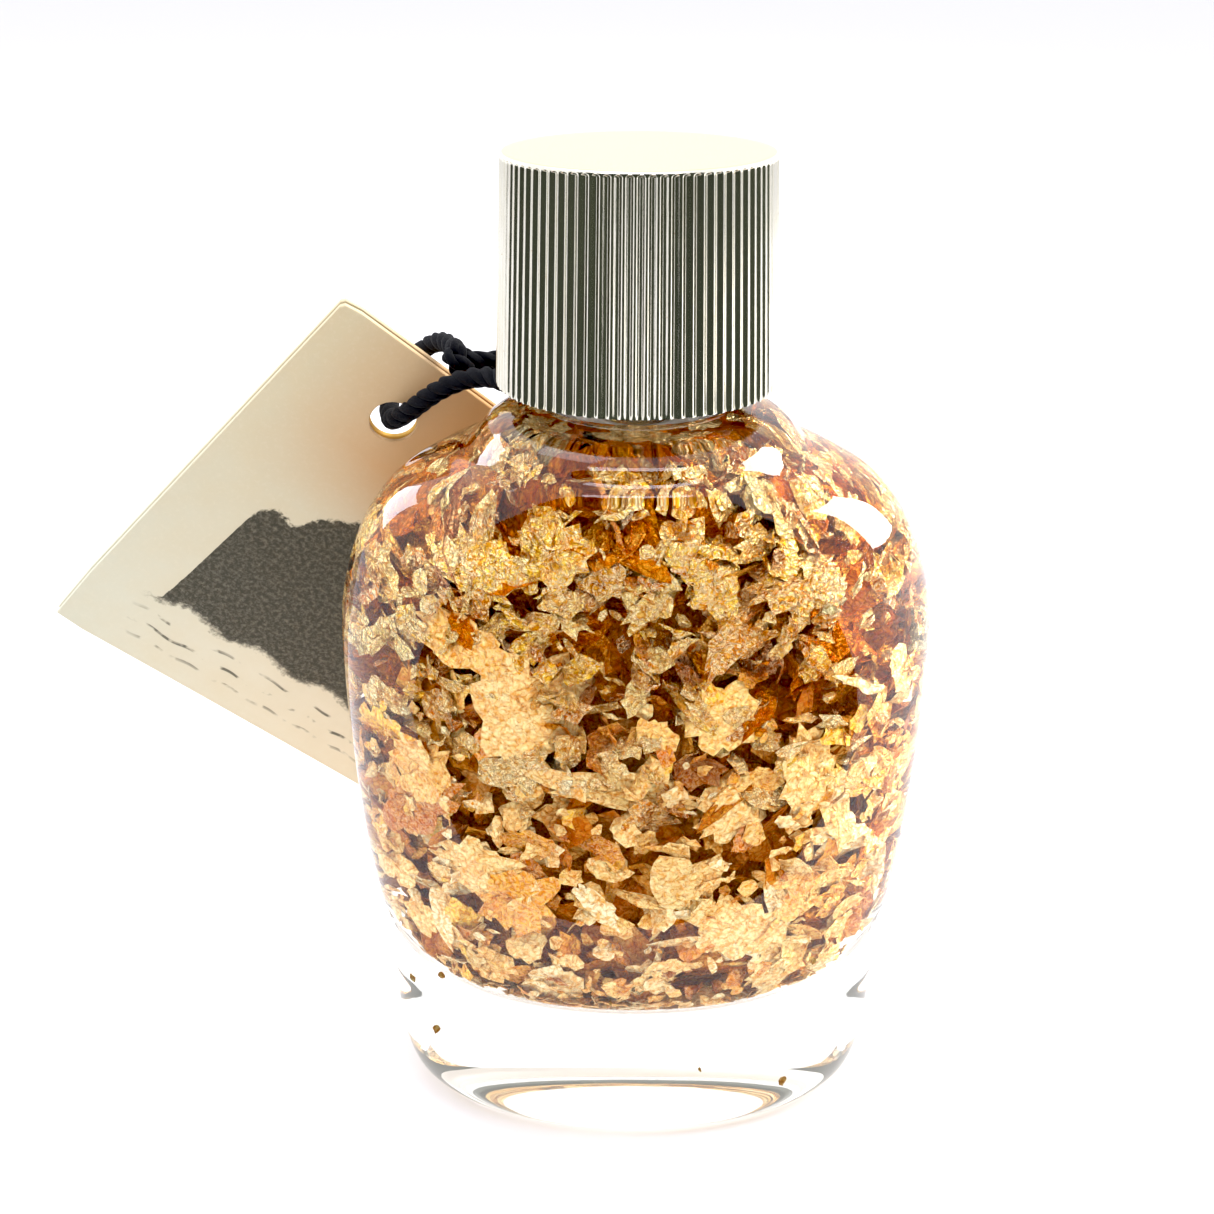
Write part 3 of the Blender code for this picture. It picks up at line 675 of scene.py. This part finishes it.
class LeafPile:
    """Leaves in one mesh; a vertex has its leaf's colour and, as alpha, how near the glass that lies."""

    def __init__(self):
        self.points, self.faces, self.colours, self.count = [], [], [], 0

    def add(self, points, faces, tint, near):
        self.points.append(points)
        self.faces += [[self.count + v for v in face] for face in faces]
        self.colours.append(np.tile([*tint, near], (len(points), 1)))
        self.count += len(points)

    def make(self, name, material):
        pile = add_piece(name, np.vstack(self.points), self.faces, [material], "bottle", False)
        write_layer(pile, "leaf_colour", "FLOAT_COLOR", np.vstack(self.colours))
        return pile


def leaf_material(name, metallic, bump, roughness, shine):
    """Thin beaten gold with painted light and shade: warm patches of painted fold shade, painted shade along
    creases and in fine crinkles, painted highlights on crinkle tops and painted glints along ridges; it is
    crumpled finer than the mesh shows.

    The leaf's colour, with its painted depth shade, comes with the mesh, and its alpha says how near the
    glass the leaf lies.
    """
    gold = Recipe(name)
    where = gold.place()
    bent = gold.vector("ADD", where, gold.noise(where, 1.3, 2.0, output="Color"))
    facets = gold.voronoi(bent, 3.2)
    fibres = gold.noise(bent, 4.5, 4.0, 0.65)
    blotch = gold.noise(where, 0.6, 3.0, 0.6)
    crinkle = gold.noise(bent, 2.2, 5.0, 0.75)
    ridge = gold.sum("ABSOLUTE", gold.sum("SUBTRACT", crinkle, 0.5))
    own, near = gold.attribute("leaf_colour"), gold.attribute("leaf_colour", "Alpha")
    # Painted fold shade: warm, darker patches across the leaf.
    warm = gold.mix(gold.range(blotch, 0.42, 0.66, 0.0, 0.55), own, (0.95, 0.66, 0.28), "MULTIPLY")
    # Painted shade along the creases between the facets.
    crease_shaded = gold.mix(gold.range(facets, 0.38, 0.7, 0.0, 0.9), warm, (0.8, 0.5, 0.2), "MULTIPLY")
    # Painted shade in the hollows of the fine crinkles.
    crinkle_shaded = gold.mix(gold.range(fibres, 0.48, 0.32, 0.0, 0.9), crease_shaded, (0.58, 0.36, 0.2), "MULTIPLY")
    # Painted highlight on the tops of the fine crinkles, on leaves near the glass.
    crinkle_highlight = gold.product(gold.range(fibres, 0.56, 0.7, 0.0, 0.5), near)
    pale = gold.mix(crinkle_highlight, crinkle_shaded, colour("ffefb8"))
    # Painted glints: bright lines along the crinkle ridges, on leaves near the glass.
    glints = gold.product(gold.range(ridge, 0.05, 0.0, 0.0, shine), near)
    lit = gold.mix(glints, pale, colour("fff6cc"))
    normal = gold.bump(facets, bump, 0.25)
    normal = gold.bump(fibres, bump * 0.7, 0.15, normal)
    gold.set(base=lit, metallic=metallic, roughness=gold.range(blotch, 0.3, 0.7, roughness, roughness + 0.18))
    gold.set(normal=normal, specular=0.1)
    return gold.material


def make_core(material):
    """The tangle of deep leaves in the middle, which hides what is behind the vial; its warm colours are
    painted shade.
    """
    rings = [np.array([[0, 0, CORE_BOTTOM]])]
    for height in CORE_HEIGHTS:
        half_width, half_depth, squareness = cavity_at(height)
        end = 1 - max(0.0, (12.5 - height) / 2.4) ** 2 * 0.5
        half_width, half_depth = (half_width - CORE_SHRINK) * end, (half_depth - CORE_SHRINK) * end
        ring = oval(height, half_width, half_depth, squareness, CORE_SIDES)
        for point in ring:
            here = Vector(point)
            ruffle = abs(noise.noise(here * 0.45)) + 0.5 * abs(noise.noise(here * 1.1))
            ruffle += 0.35 * abs(noise.noise(here * 2.4))
            point[:2] *= 1 + 0.24 * (ruffle - 0.45)
        rings.append(ring)
    rings.append(np.array([[0, 0, CORE_TOP]]))
    points, faces = skin(rings)
    core = add_piece("gold_leaf_core", points, faces, [material], "bottle", False)
    shade = smoothstep(22, 36, points[:, 2])[:, None]
    low, high = np.array(CORE_SHADE_LOWER), np.array(CORE_SHADE_UPPER)
    patches = np.array([0.6 + 0.75 * abs(noise.cell(Vector(point) * 0.75)) for point in points])[:, None]
    tints = (low * (1 - shade) + high * shade) * patches
    write_layer(core, "leaf_colour", "FLOAT_COLOR", np.column_stack([tints, np.zeros(len(points))]))


def lay_leaf(piles, dice, turn, height, depth, radius, stretch, tint, cell, upper):
    """One leaf laid against the cavity wall at a turn round it, a height, and a depth behind it."""
    half_width, half_depth, squareness = cavity_at(height)
    across, along = math.cos(turn), math.sin(turn)
    x = half_width * math.copysign(abs(across) ** (2 / squareness), across)
    y = half_depth * math.copysign(abs(along) ** (2 / squareness), along)
    outward = Vector((x / half_width**2, y / half_depth**2, 0)).normalized()
    slope = cavity_at(height - 0.5)[0] - cavity_at(height + 0.5)[0]
    outward = (outward + Vector((0, 0, max(-1.5, min(1.5, slope * 0.8))))).normalized()
    if upper:
        creases, steepness, fine, lean = dice.randint(3, 7), 0.7, 0.5, 0.65
    else:
        creases, steepness, fine, lean = dice.randint(2, 5), 0.5, 0.3, 0.42
    if radius > LARGE_LEAF:
        lean *= 0.5
        steepness *= 0.7
    points, faces = crumpled(dice, radius, stretch, creases, steepness, fine, cell)
    tumble = Euler((dice.gauss(0, lean), dice.gauss(0, lean), 0)).to_matrix()
    spin = Matrix.Rotation(dice.uniform(0, math.tau), 3, "Z")
    turned = outward.to_track_quat("Z", "Y").to_matrix() @ tumble @ spin
    middle = np.array((x, y, height)) - np.array(outward) * depth
    points = hold_inside(points @ np.array(turned).T + middle, 0.07 + 0.3 * dice.random())
    piles[upper].add(points, faces, tint, 1 - float(smoothstep(0.6, 1.5, depth)))


def scatter_leaves(piles, dice, tries, depths, sizes, cell):
    """Leaves laid all over the cavity wall at random, fewer where it is narrow, more on the shoulder."""
    for _ in range(tries):
        height = dice.uniform(LEAF_LOW, LEAF_HIGH)
        turn = dice.uniform(0, math.tau)
        half_width, half_depth, _ = cavity_at(height)
        width_here = math.hypot(half_width * math.sin(turn), half_depth * math.cos(turn))
        if dice.random() > width_here / WIDEST * (SHOULDER_CROWDING if height > SHOULDER_FROM else 1.0):
            continue
        depth = dice.uniform(*depths)
        upper = height > UPPER_FROM + dice.uniform(-5, 5)
        radius = sizes[0] + (sizes[1] - sizes[0]) * dice.random() ** 1.8
        long_one = dice.random() < (0.35 if upper else 0.22)
        stretch = dice.uniform(1.3, 2.1) if long_one else dice.uniform(0.9, 1.2)
        tint = leaf_colour(dice, height, depth)
        is_grey = tint[2] > 0.6 * tint[0] and tint[0] < 0.4
        if is_grey:
            radius = min(radius, GREY_LEAF_LARGEST)
        lay_leaf(piles, dice, turn, height, depth, radius, stretch, tint, cell, upper)


def flat_leaves(pile, dice, count, level, half_width, half_depth, rise):
    """Leaves lying flat over an oval at one level, which rises towards its edge."""
    for _ in range(count):
        turn, reach = dice.uniform(0, math.tau), math.sqrt(dice.random())
        x, y = half_width * reach * math.cos(turn), half_depth * reach * math.sin(turn)
        height = level + rise * reach**4 + dice.uniform(-0.35, 0.35)
        points, faces = crumpled(dice, dice.uniform(0.7, 1.9), dice.uniform(0.9, 1.4), 3, 0.3, 0.25, 0.4)
        tumble = Euler((dice.gauss(0, 0.25), dice.gauss(0, 0.25), dice.uniform(0, 6))).to_matrix()
        points = hold_inside(points @ np.array(tumble).T + np.array((x, y, height)), 0.1)
        pile.add(points, faces, leaf_colour(dice, 10.0, 0.0), 1.0)


def chosen_leaves(piles, dice):
    """The large leaves that stand out in front."""
    for across, height, depth, radius, stretch, name in CHOSEN_LEAVES:
        half_width, _, squareness = cavity_at(height)
        turn = -math.acos(math.copysign(abs(across / half_width) ** (squareness / 2), across))
        upper = name in ("yellow", "gold")
        lay_leaf(piles, dice, turn, height, depth, radius, stretch, LEAF_COLOURS[name], CHOSEN_CELL, upper)


def make_leaves():
    """All the leaf: two piles, smoother leaves low down and crumpled ones above, and the core and crumbs."""
    dice = random.Random(7)
    piles = (LeafPile(), LeafPile())
    for scatter in SCATTERS:
        scatter_leaves(piles, dice, *scatter)
    flat_leaves(piles[0], dice, *FLOOR_LEAVES)
    flat_leaves(piles[1], dice, *CEILING_LEAVES)
    chosen_leaves(piles, dice)
    flakes = [f"gold_flake_{i:02d}" for i in range(1, 31)]
    lower = piles[0].make("gold_leaf_lower", leaf_material("gold_leaf_smooth", 0.5, 0.45, 0.3, 0.35))
    upper = piles[1].make("gold_leaf_upper", leaf_material("gold_leaf_crumpled", 0.75, 0.7, 0.15, 0.9))
    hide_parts(*flakes[:15])
    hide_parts(*flakes[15:])
    make_core(leaf_material("gold_leaf_deep", 0.4, 1.0, 0.45, 0.0))
    make_specks(leaf_material("gold_leaf_crumb", 0.4, 0.6, 0.3, 0.0))


def make_specks(material):
    """A few crumbs of leaf stuck to the outside of the foot, in front."""
    dice = random.Random(11)
    outline = spline(BODY_OUTLINE, OUTLINE_STEPS)
    pile = LeafPile()
    for across, height, size in STRAY_SPECKS:
        half_width, half_depth, squareness = rows_at(outline, height)
        along = -half_depth * (1 - abs(across / half_width) ** squareness) ** (1 / squareness)
        outward = Vector((across / half_width**2, along / half_depth**2, 0)).normalized()
        speck, sides = crumpled(dice, size, dice.uniform(1.0, 1.3), 2, 0.2, 0.1, 0.16)
        spin = Matrix.Rotation(dice.uniform(0, math.tau), 3, "Z")
        turned = outward.to_track_quat("Z", "Y").to_matrix() @ spin
        middle = np.array((across, along, height)) + np.array(outward) * SPECK_LIFT
        pile.add(speck @ np.array(turned).T + middle, sides, SPECK_COLOUR, 1.0)
    pile.make("gold_leaf_specks", material)


# ---------------------------------------------------------------- cap
RIB_STEPS = 10                  # points across one rib
RIB_ROUNDNESS = 1.8
RIB_FADE = 0.2
RIB_END = CAP_TOP - 0.1
RIB_HEIGHTS = [CAP_BOTTOM + 0.15, CAP_BOTTOM + 0.3, 50.0, 53.0, 56.0, 58.5, 60.0, 60.15]
RIM_BEVEL = 0.14
EDGE_ROUNDING = 0.1
EDGE_STEPS = 6


def metal_material(name, light, dark):
    """Bright metallised plastic with a faint grain drawn out upward, and a few pinpricks of wear."""
    metal = Recipe(name)
    where = metal.place()
    fine = metal.noise(metal.vector("MULTIPLY", where, (9.0, 9.0, 0.25)), 1.0, 4.0, 0.7)
    specks = metal.voronoi(where, 1.6)
    tint = metal.mix(metal.range(fine, 0.35, 0.65), light, dark)
    tint = metal.mix(metal.range(specks, 0.03, 0.06, 1.0, 0.0), tint, colour("a98a50"))
    metal.set(base=tint, metallic=1.0, roughness=metal.range(fine, 0.3, 0.7, 0.08, 0.2))
    metal.set(normal=metal.bump(fine, 0.12, 0.02))
    return metal.material


def make_cap():
    """A thin shell from its ceiling down the inside, round the rim, up the ribs and over the top."""
    spokes = RIB_COUNT * RIB_STEPS
    turn = np.arange(spokes) * math.tau / spokes
    pitch = np.arange(spokes) % RIB_STEPS / RIB_STEPS
    from_groove = np.minimum(pitch, 1 - pitch) * 2

    def outside(height):
        share = (height - CAP_BOTTOM) / (CAP_TOP - CAP_BOTTOM)
        return CAP_RADIUS_BOTTOM + (CAP_RADIUS_TOP - CAP_RADIUS_BOTTOM) * share

    def circle(height, radius):
        radius = np.broadcast_to(radius, (spokes,))
        return np.stack([radius * np.cos(turn), radius * np.sin(turn), np.full(spokes, float(height))], 1)

    def ribbed(height):
        past = max(0.0, (height - (RIB_END - RIB_FADE)) / RIB_FADE, ((CAP_BOTTOM + 0.3) - height) / 0.5)
        reach = np.minimum(1.0, np.sqrt(from_groove**2 + past**2))
        return circle(height, outside(height) - RIB_DEPTH * np.cos(math.pi / 2 * reach) ** RIB_ROUNDNESS)

    ceiling = CAP_TOP - SHELL_TOP_WALL
    wall = RIB_DEPTH + SHELL_WALL
    rings = [np.array([[0, 0, ceiling]])]
    rings += [circle(ceiling, 4.0), circle(ceiling, outside(ceiling) - wall - 0.2)]
    rings += [circle(ceiling - 0.2, outside(ceiling) - wall)]
    rings += [circle(CAP_BOTTOM + 0.15, outside(CAP_BOTTOM) - wall)]
    rings += [circle(CAP_BOTTOM, outside(CAP_BOTTOM) - wall + 0.12)]
    rings += [circle(CAP_BOTTOM, outside(CAP_BOTTOM) - RIB_DEPTH - RIM_BEVEL)]
    rings += [ribbed(CAP_BOTTOM + 0.05) * [0.995, 0.995, 1]]
    rings += [ribbed(height) for height in RIB_HEIGHTS]
    rings += [ribbed(RIB_END - RIB_FADE * (1 - step / EDGE_STEPS)) for step in range(EDGE_STEPS + 1)]
    edge = outside(CAP_TOP)
    for step in range(1, EDGE_STEPS + 1):
        bend = math.pi / 2 * step / EDGE_STEPS
        radius = edge - 0.02 - EDGE_ROUNDING * (1 - math.cos(bend))
        rings.append(circle(RIB_END + (CAP_TOP - RIB_END) * math.sin(bend), radius))
    first_on_top = (len(rings) - 2) * spokes
    rings += [circle(CAP_TOP, edge - 0.5), circle(CAP_TOP - 0.02, edge - 2.2), circle(CAP_TOP - 0.03, 2.0)]
    rings += [np.array([[0, 0, CAP_TOP - 0.03]])]
    points, faces = skin(rings)
    metals = [
        metal_material("champagne_metal", colour("e2e0d4"), colour("d9d5c2")),
        # Painted shade: the flat top gets a darker, yellower copy of the same metal for how the overhead
        # light falls on it.
        metal_material("champagne_metal_top_shaded", colour("c6c18c"), colour("c1bb82")),
    ]
    shell = add_piece("cap_shell_ribbed", points, faces, metals, "cap", sharp=55)
    choose_materials(shell, [min(face) >= first_on_top for face in faces])
    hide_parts("cap_shell")


def dress_cap_inside():
    """The carried-over insert and wad take moulded plastic and foam."""
    plastic = Recipe("insert_plastic")
    grain = plastic.noise(plastic.place(), 2.2, 4.0, 0.6)
    plastic.set(base=plastic.mix(grain, colour("e9e8e3"), colour("f4f3ef")))
    plastic.set(roughness=plastic.range(grain, 0, 1, 0.35, 0.5), normal=plastic.bump(grain, 0.15, 0.05))
    foam = Recipe("wad_foam")
    cells = foam.voronoi(foam.place(), 5.0)
    foam.set(base=foam.mix(cells, colour("dedcd0"), colour("f6f4ea")))
    foam.set(roughness=0.85, normal=foam.bump(cells, 0.5, 0.08))
    for node, dress in (("cap_insert", plastic.material), ("cap_wad", foam.material)):
        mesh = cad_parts[node].data
        mesh.materials.clear()
        mesh.materials.append(dress)


# ---------------------------------------------------------------- cord and knot
CORD_FLUFF = 1.05               # the visible strands stand this much proud of the plain tube
CORD_STEP = 0.14
CORD_STRANDS = 3
CORD_LAY = 3.1                  # one turn of the strands
KNOT_RADIUS = 0.5
KNOT_STRANDS = 2
KNOT_LAY = 2.2
KNOT_SCALE = 0.64
KNOT_LEAN = (0.5, 0.9, 0.3)
STRAND_SHARE = 0.6              # a strand's radius in that of the cord
YARNS = 4                       # ridges round one strand
YARN_HEIGHT = 0.07
YARN_LAY = 0.45                 # one turn of the yarns in that of the strands


def cotton_material():
    cotton = Recipe("black_cotton")
    where = cotton.place()
    fibre = cotton.noise(where, 7.0, 5.0, 0.7)
    lint = cotton.noise(where, 2.4, 3.0, 0.6)
    tint = cotton.mix(cotton.range(fibre, 0.35, 0.75), colour("0e0f12"), colour("1a1b20"))
    tint = cotton.mix(cotton.range(lint, 0.62, 0.8, 0.0, 0.4), tint, colour("282b31"))
    cotton.set(base=tint, roughness=cotton.range(fibre, 0.3, 0.7, 0.8, 1.0), sheen=0.04, sheen_roughness=0.5)
    cotton.set(normal=cotton.bump(fibre, 0.8, 0.12), specular=0.12)
    return cotton.material


def frames_along(path):
    """Two directions across the path at each of its points, carried along without twist."""
    tangents = np.gradient(path, axis=0)
    tangents /= np.linalg.norm(tangents, axis=1)[:, None]
    side = np.cross(tangents[0], [0.0, 0.0, 1.0])
    side /= np.linalg.norm(side)
    sides = []
    for tangent in tangents:
        side = side - tangent * np.dot(side, tangent)
        side /= np.linalg.norm(side)
        sides.append(side)
    sides = np.array(sides)
    return sides, np.cross(tangents, sides)


def twisted(path, radius, strands, lay, around=16):
    """Strands twisted together along a path, each with a faint lay of its own yarns."""
    strand_radius = radius * STRAND_SHARE
    offset = radius - strand_radius
    sides, ups = frames_along(path)
    travelled = np.concatenate([[0], np.cumsum(np.linalg.norm(np.diff(path, axis=0), axis=1))])
    turn = np.arange(around) * math.tau / around
    points, faces = [], []
    for strand in range(strands):
        phase = math.tau * (strand / strands + travelled / lay)
        centre = path + offset * (np.cos(phase)[:, None] * sides + np.sin(phase)[:, None] * ups)
        across, over = frames_along(centre)
        first = len(points) * around
        for i in range(len(path)):
            lumps = 1 + YARN_HEIGHT * np.sin(YARNS * turn - math.tau * travelled[i] / (YARN_LAY * lay))
            x, y = strand_radius * lumps * np.cos(turn), strand_radius * lumps * np.sin(turn)
            points.append(centre[i] + x[:, None] * across[i] + y[:, None] * over[i])
        for i in range(len(path) - 1):
            low, high = first + i * around, first + (i + 1) * around
            for k in range(around):
                n = (k + 1) % around
                faces.append([low + k, low + n, high + n, high + k])
        last = first + (len(path) - 1) * around
        faces.append([first + k for k in reversed(range(around))])
        faces.append([last + k for k in range(around)])
    points = np.vstack(points)
    return points, facing_out(points, faces)


def make_cord():
    cotton = cotton_material()
    path, length = even_steps(spline(CORD_ROUTE, 12), CORD_STEP)
    points, faces = twisted(path, CORD_DIAMETER / 2 * CORD_FLUFF, CORD_STRANDS, CORD_LAY)
    cord = add_piece("tag_cord_twisted", points, faces, [cotton], "cord")
    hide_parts("tag_cord")

    turn = np.linspace(0, math.tau, 121)        # round a trefoil knot
    wave = 1.0 + 0.46 * np.cos(3 * turn)
    loop = np.stack([wave * np.cos(2 * turn), 0.8 * wave * np.sin(2 * turn), 0.55 * np.sin(3 * turn)], 1)
    loop = loop @ np.array(Euler(KNOT_LEAN).to_matrix()).T * KNOT_SCALE + np.array(CORD_ROUTE[0])
    points, faces = twisted(loop, KNOT_RADIUS, KNOT_STRANDS, KNOT_LAY, 12)
    knot = add_piece("cord_knot_tied", points, faces, [cotton], "cord")
    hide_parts("cord_knot")


# ---------------------------------------------------------------- tag
HOLE_CENTRE = (HOLE_FROM_FOLD, -HOLE_FROM_TOP, 0)
BOW_ACROSS = 0.07
BOW_DOWN = 0.05
CARD_BEVEL = 0.05
CARD_SPOKES = 96
CARD_SHARES = (0.02, 0.08, 0.2, 0.35, 0.5, 0.65, 0.8, 0.92)     # rings between the hole and the edge
SHORE = -26.2
HILL_HEIGHT = 16.5
HILL_OUTLINE = (    # share of the way across, share of the height
    (0.0, 0.0), (0.145, 0.02), (0.165, 0.6), (0.2, 0.68), (0.245, 0.66), (0.27, 0.74), (0.36, 0.86),
    (0.5, 0.98), (0.63, 0.9), (0.74, 0.6), (0.86, 0.25), (0.93, 0.0), (1.0, 0.0),
)


def card_material(printed):
    """Uncoated card with painted light and shade: its tone shifts across it and darkens towards the top, with
    painted warm shade and light from the gold near the vial; tag_place is the place on it, counted from its
    top fold corner.
    """
    card = Recipe("card_printed" if printed else "card_plain")
    where = card.attribute("tag_place", "Vector")
    split = card.node("ShaderNodeSeparateXYZ", {0: where}).outputs
    across, up = split["X"], split["Y"]
    fibre = card.noise(where, 2.6, 5.0, 0.7)
    mottle = card.noise(where, 0.35, 3.0, 0.6)
    # Painted light and shade: greyer near the fold, lighter and warmer across, and a darker tan towards the
    # top.
    low = card.mix(card.range(across, 0.0, 24.0), colour("bcbba8"), colour("d9c9ab"))
    paper = card.mix(card.range(up, -27.0, -3.0), low, colour("bbb092"))
    paper = card.mix(card.range(mottle, 0.3, 0.7, 0.0, 0.2), paper, colour("c0ac84"))
    paper = card.mix(card.range(fibre, 0.5, 0.75, 0.0, 0.2), paper, colour("d4cdb8"))
    # Painted warm shade and light thrown by the gold leaf, in a patch near the vial.
    glow = card.product(card.range(across, 1.0, 11.0), card.range(up, -14.0, -8.0))
    paper = card.mix(card.product(glow, 0.75), paper, colour("b88040"))
    if printed:
        paper = print_picture(card, paper, where, across, up)
    else:
        # Painted warm light round the hole.
        from_hole = card.vector("DISTANCE", where, HOLE_CENTRE, "Value")
        paper = card.mix(card.range(from_hole, 3.4, 2.2), paper, colour("f2c266"))
    card.set(base=paper, roughness=card.range(fibre, 0.2, 0.8, 0.6, 0.85), specular=0.3)
    card.set(normal=card.bump(fibre, 0.25, 0.03))
    return card.material


def print_picture(card, paper, where, across, up):
    """A plain range of hills over a few short waves, in soft dark ink."""
    rough = card.noise(where, 1.6, 4.0, 0.7)
    shake = card.range(rough, 0.2, 0.8, -0.6, 0.6)
    reach = card.range(across, 0.0, TAG_SIZE)
    hills = card.node("ShaderNodeFloatCurve", {"Value": reach})
    curve = hills.mapping.curves[0]
    curve.points[0].location = HILL_OUTLINE[0]
    curve.points[1].location = HILL_OUTLINE[-1]
    for spot in HILL_OUTLINE[1:-1]:
        curve.points.new(*spot)
    hills.mapping.update()
    top = card.sum("ADD", card.product(hills.outputs[0], HILL_HEIGHT), SHORE)
    below_top = card.range(card.sum("SUBTRACT", card.sum("ADD", top, shake), up), 0.0, 0.35)
    lapping = card.sum("SINE", card.product(across, 1.1))
    waterline = card.sum("ADD", card.product(lapping, 0.35), SHORE)
    above_shore = card.range(card.sum("SUBTRACT", up, card.sum("ADD", waterline, shake)), 0.0, 0.5)
    blots = card.noise(where, 3.2, 4.0, 0.75)
    ink = card.product(card.product(below_top, above_shore), card.range(blots, 0.3, 0.55, 0.8, 1.0))
    ripple = card.sum("SINE", card.sum("ADD", card.product(across, 1.9), card.product(up, 1.3)))
    band = card.sum("SINE", card.sum("ADD", card.product(up, 5.2), card.product(ripple, 0.55)))
    broken = card.range(card.noise(where, 0.75, 2.0), 0.5, 0.6)
    water_down = card.product(card.range(up, -30.2, -29.6), card.range(up, SHORE - 0.9, SHORE - 1.4))
    water_across = card.product(card.range(across, 3.2, 5.5), card.range(across, 29.0, 26.5))
    waves = card.product(card.range(band, 0.72, 0.92), broken)
    strokes = card.product(waves, card.product(water_down, water_across))
    ink = card.sum("MAXIMUM", ink, card.product(strokes, 0.85), clamp=True)
    return card.mix(card.product(ink, 0.94), paper, colour("26241a"))


def card_rings(depth):
    """A thin square with a punched hole: rings from the hole's wall out over the front, round and back."""
    hole, middle = Vector(HOLE_CENTRE), Vector((TAG_SIZE / 2, -TAG_SIZE / 2, 0))
    turns = [math.tau * k / CARD_SPOKES for k in range(CARD_SPOKES)]
    rays = [Vector((math.cos(turn), math.sin(turn), 0)) for turn in turns]
    edge = []
    for ray in rays:
        across = ((TAG_SIZE if ray.x > 0 else 0) - hole.x) / ray.x if abs(ray.x) > 1e-6 else math.inf
        along = ((0 if ray.y > 0 else -TAG_SIZE) - hole.y) / ray.y if abs(ray.y) > 1e-6 else math.inf
        edge.append(hole + ray * min(across, along))
    for x, y in ((0, 0), (TAG_SIZE, 0), (TAG_SIZE, -TAG_SIZE), (0, -TAG_SIZE)):
        corner = Vector((x, y, 0))
        nearest = min(range(CARD_SPOKES), key=lambda i: (edge[i] - corner).length)
        edge[nearest] = corner.lerp(middle, 0.012)
    edge = np.array(edge)
    round_hole = np.array([hole + HOLE_RADIUS * ray for ray in rays])
    inward = np.array(middle) - edge
    inward /= np.linalg.norm(inward, axis=1)[:, None]
    outward = (round_hole - np.array(hole)) / HOLE_RADIUS
    front, rear, bevel = -depth, -depth - TAG_THICKNESS, CARD_BEVEL

    def at(ring, level):
        return ring + np.array([0, 0, level])

    rings = [at(round_hole, front - bevel), at(round_hole + outward * bevel, front)]
    rings += [at(round_hole + (edge - round_hole) * share, front) for share in CARD_SHARES]
    rings += [at(edge + inward * bevel, front), at(edge, front - bevel), at(edge, rear + bevel)]
    rings += [at(edge + inward * bevel, rear)]
    rings += [at(round_hole + (edge - round_hole) * share, rear) for share in reversed(CARD_SHARES)]
    rings += [at(round_hole + outward * bevel, rear), at(round_hole, rear + bevel)]
    return rings


def make_tag():
    """The two leaves of the folded card, each bowed a little."""
    place = np.array(Matrix.Translation(TAG_CORNER) @ TAG_TURN.to_matrix().to_4x4())
    for name, node, body, depth, printed in (
        ("tag_front_card", "tag_front_leaf", "tag", 0.0, True),
        ("tag_back_card", "tag_back_leaf", "tag_cover", TAG_THICKNESS + TAG_GAP, False),
    ):
        rings = card_rings(depth)
        flat = np.vstack(rings)
        faces = []
        for k in range(len(rings)):
            low, high = k * CARD_SPOKES, (k + 1) % len(rings) * CARD_SPOKES
            for i in range(CARD_SPOKES):
                j = (i + 1) % CARD_SPOKES
                faces.append([low + i, low + j, high + j, high + i])
        half_turns = flat * math.pi / TAG_SIZE
        bow = BOW_ACROSS * np.sin(half_turns[:, 0]) + BOW_DOWN * np.sin(-half_turns[:, 1])
        bowed = flat - np.column_stack([np.zeros((len(flat), 2)), bow])
        points = bowed @ place[:3, :3].T + place[:3, 3]
        faces = facing_out(points, faces)
        card = add_piece(name, points, faces, [card_material(printed)], body, sharp=35)
        write_layer(card, "tag_place", "FLOAT_VECTOR", flat)
        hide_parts(node)


set_view()
make_camera()
make_world()
make_floor()
make_flags()
make_lights()
make_cord()
make_bottle()
make_liquid()
make_leaves()
make_cap()
dress_cap_inside()
make_tag()
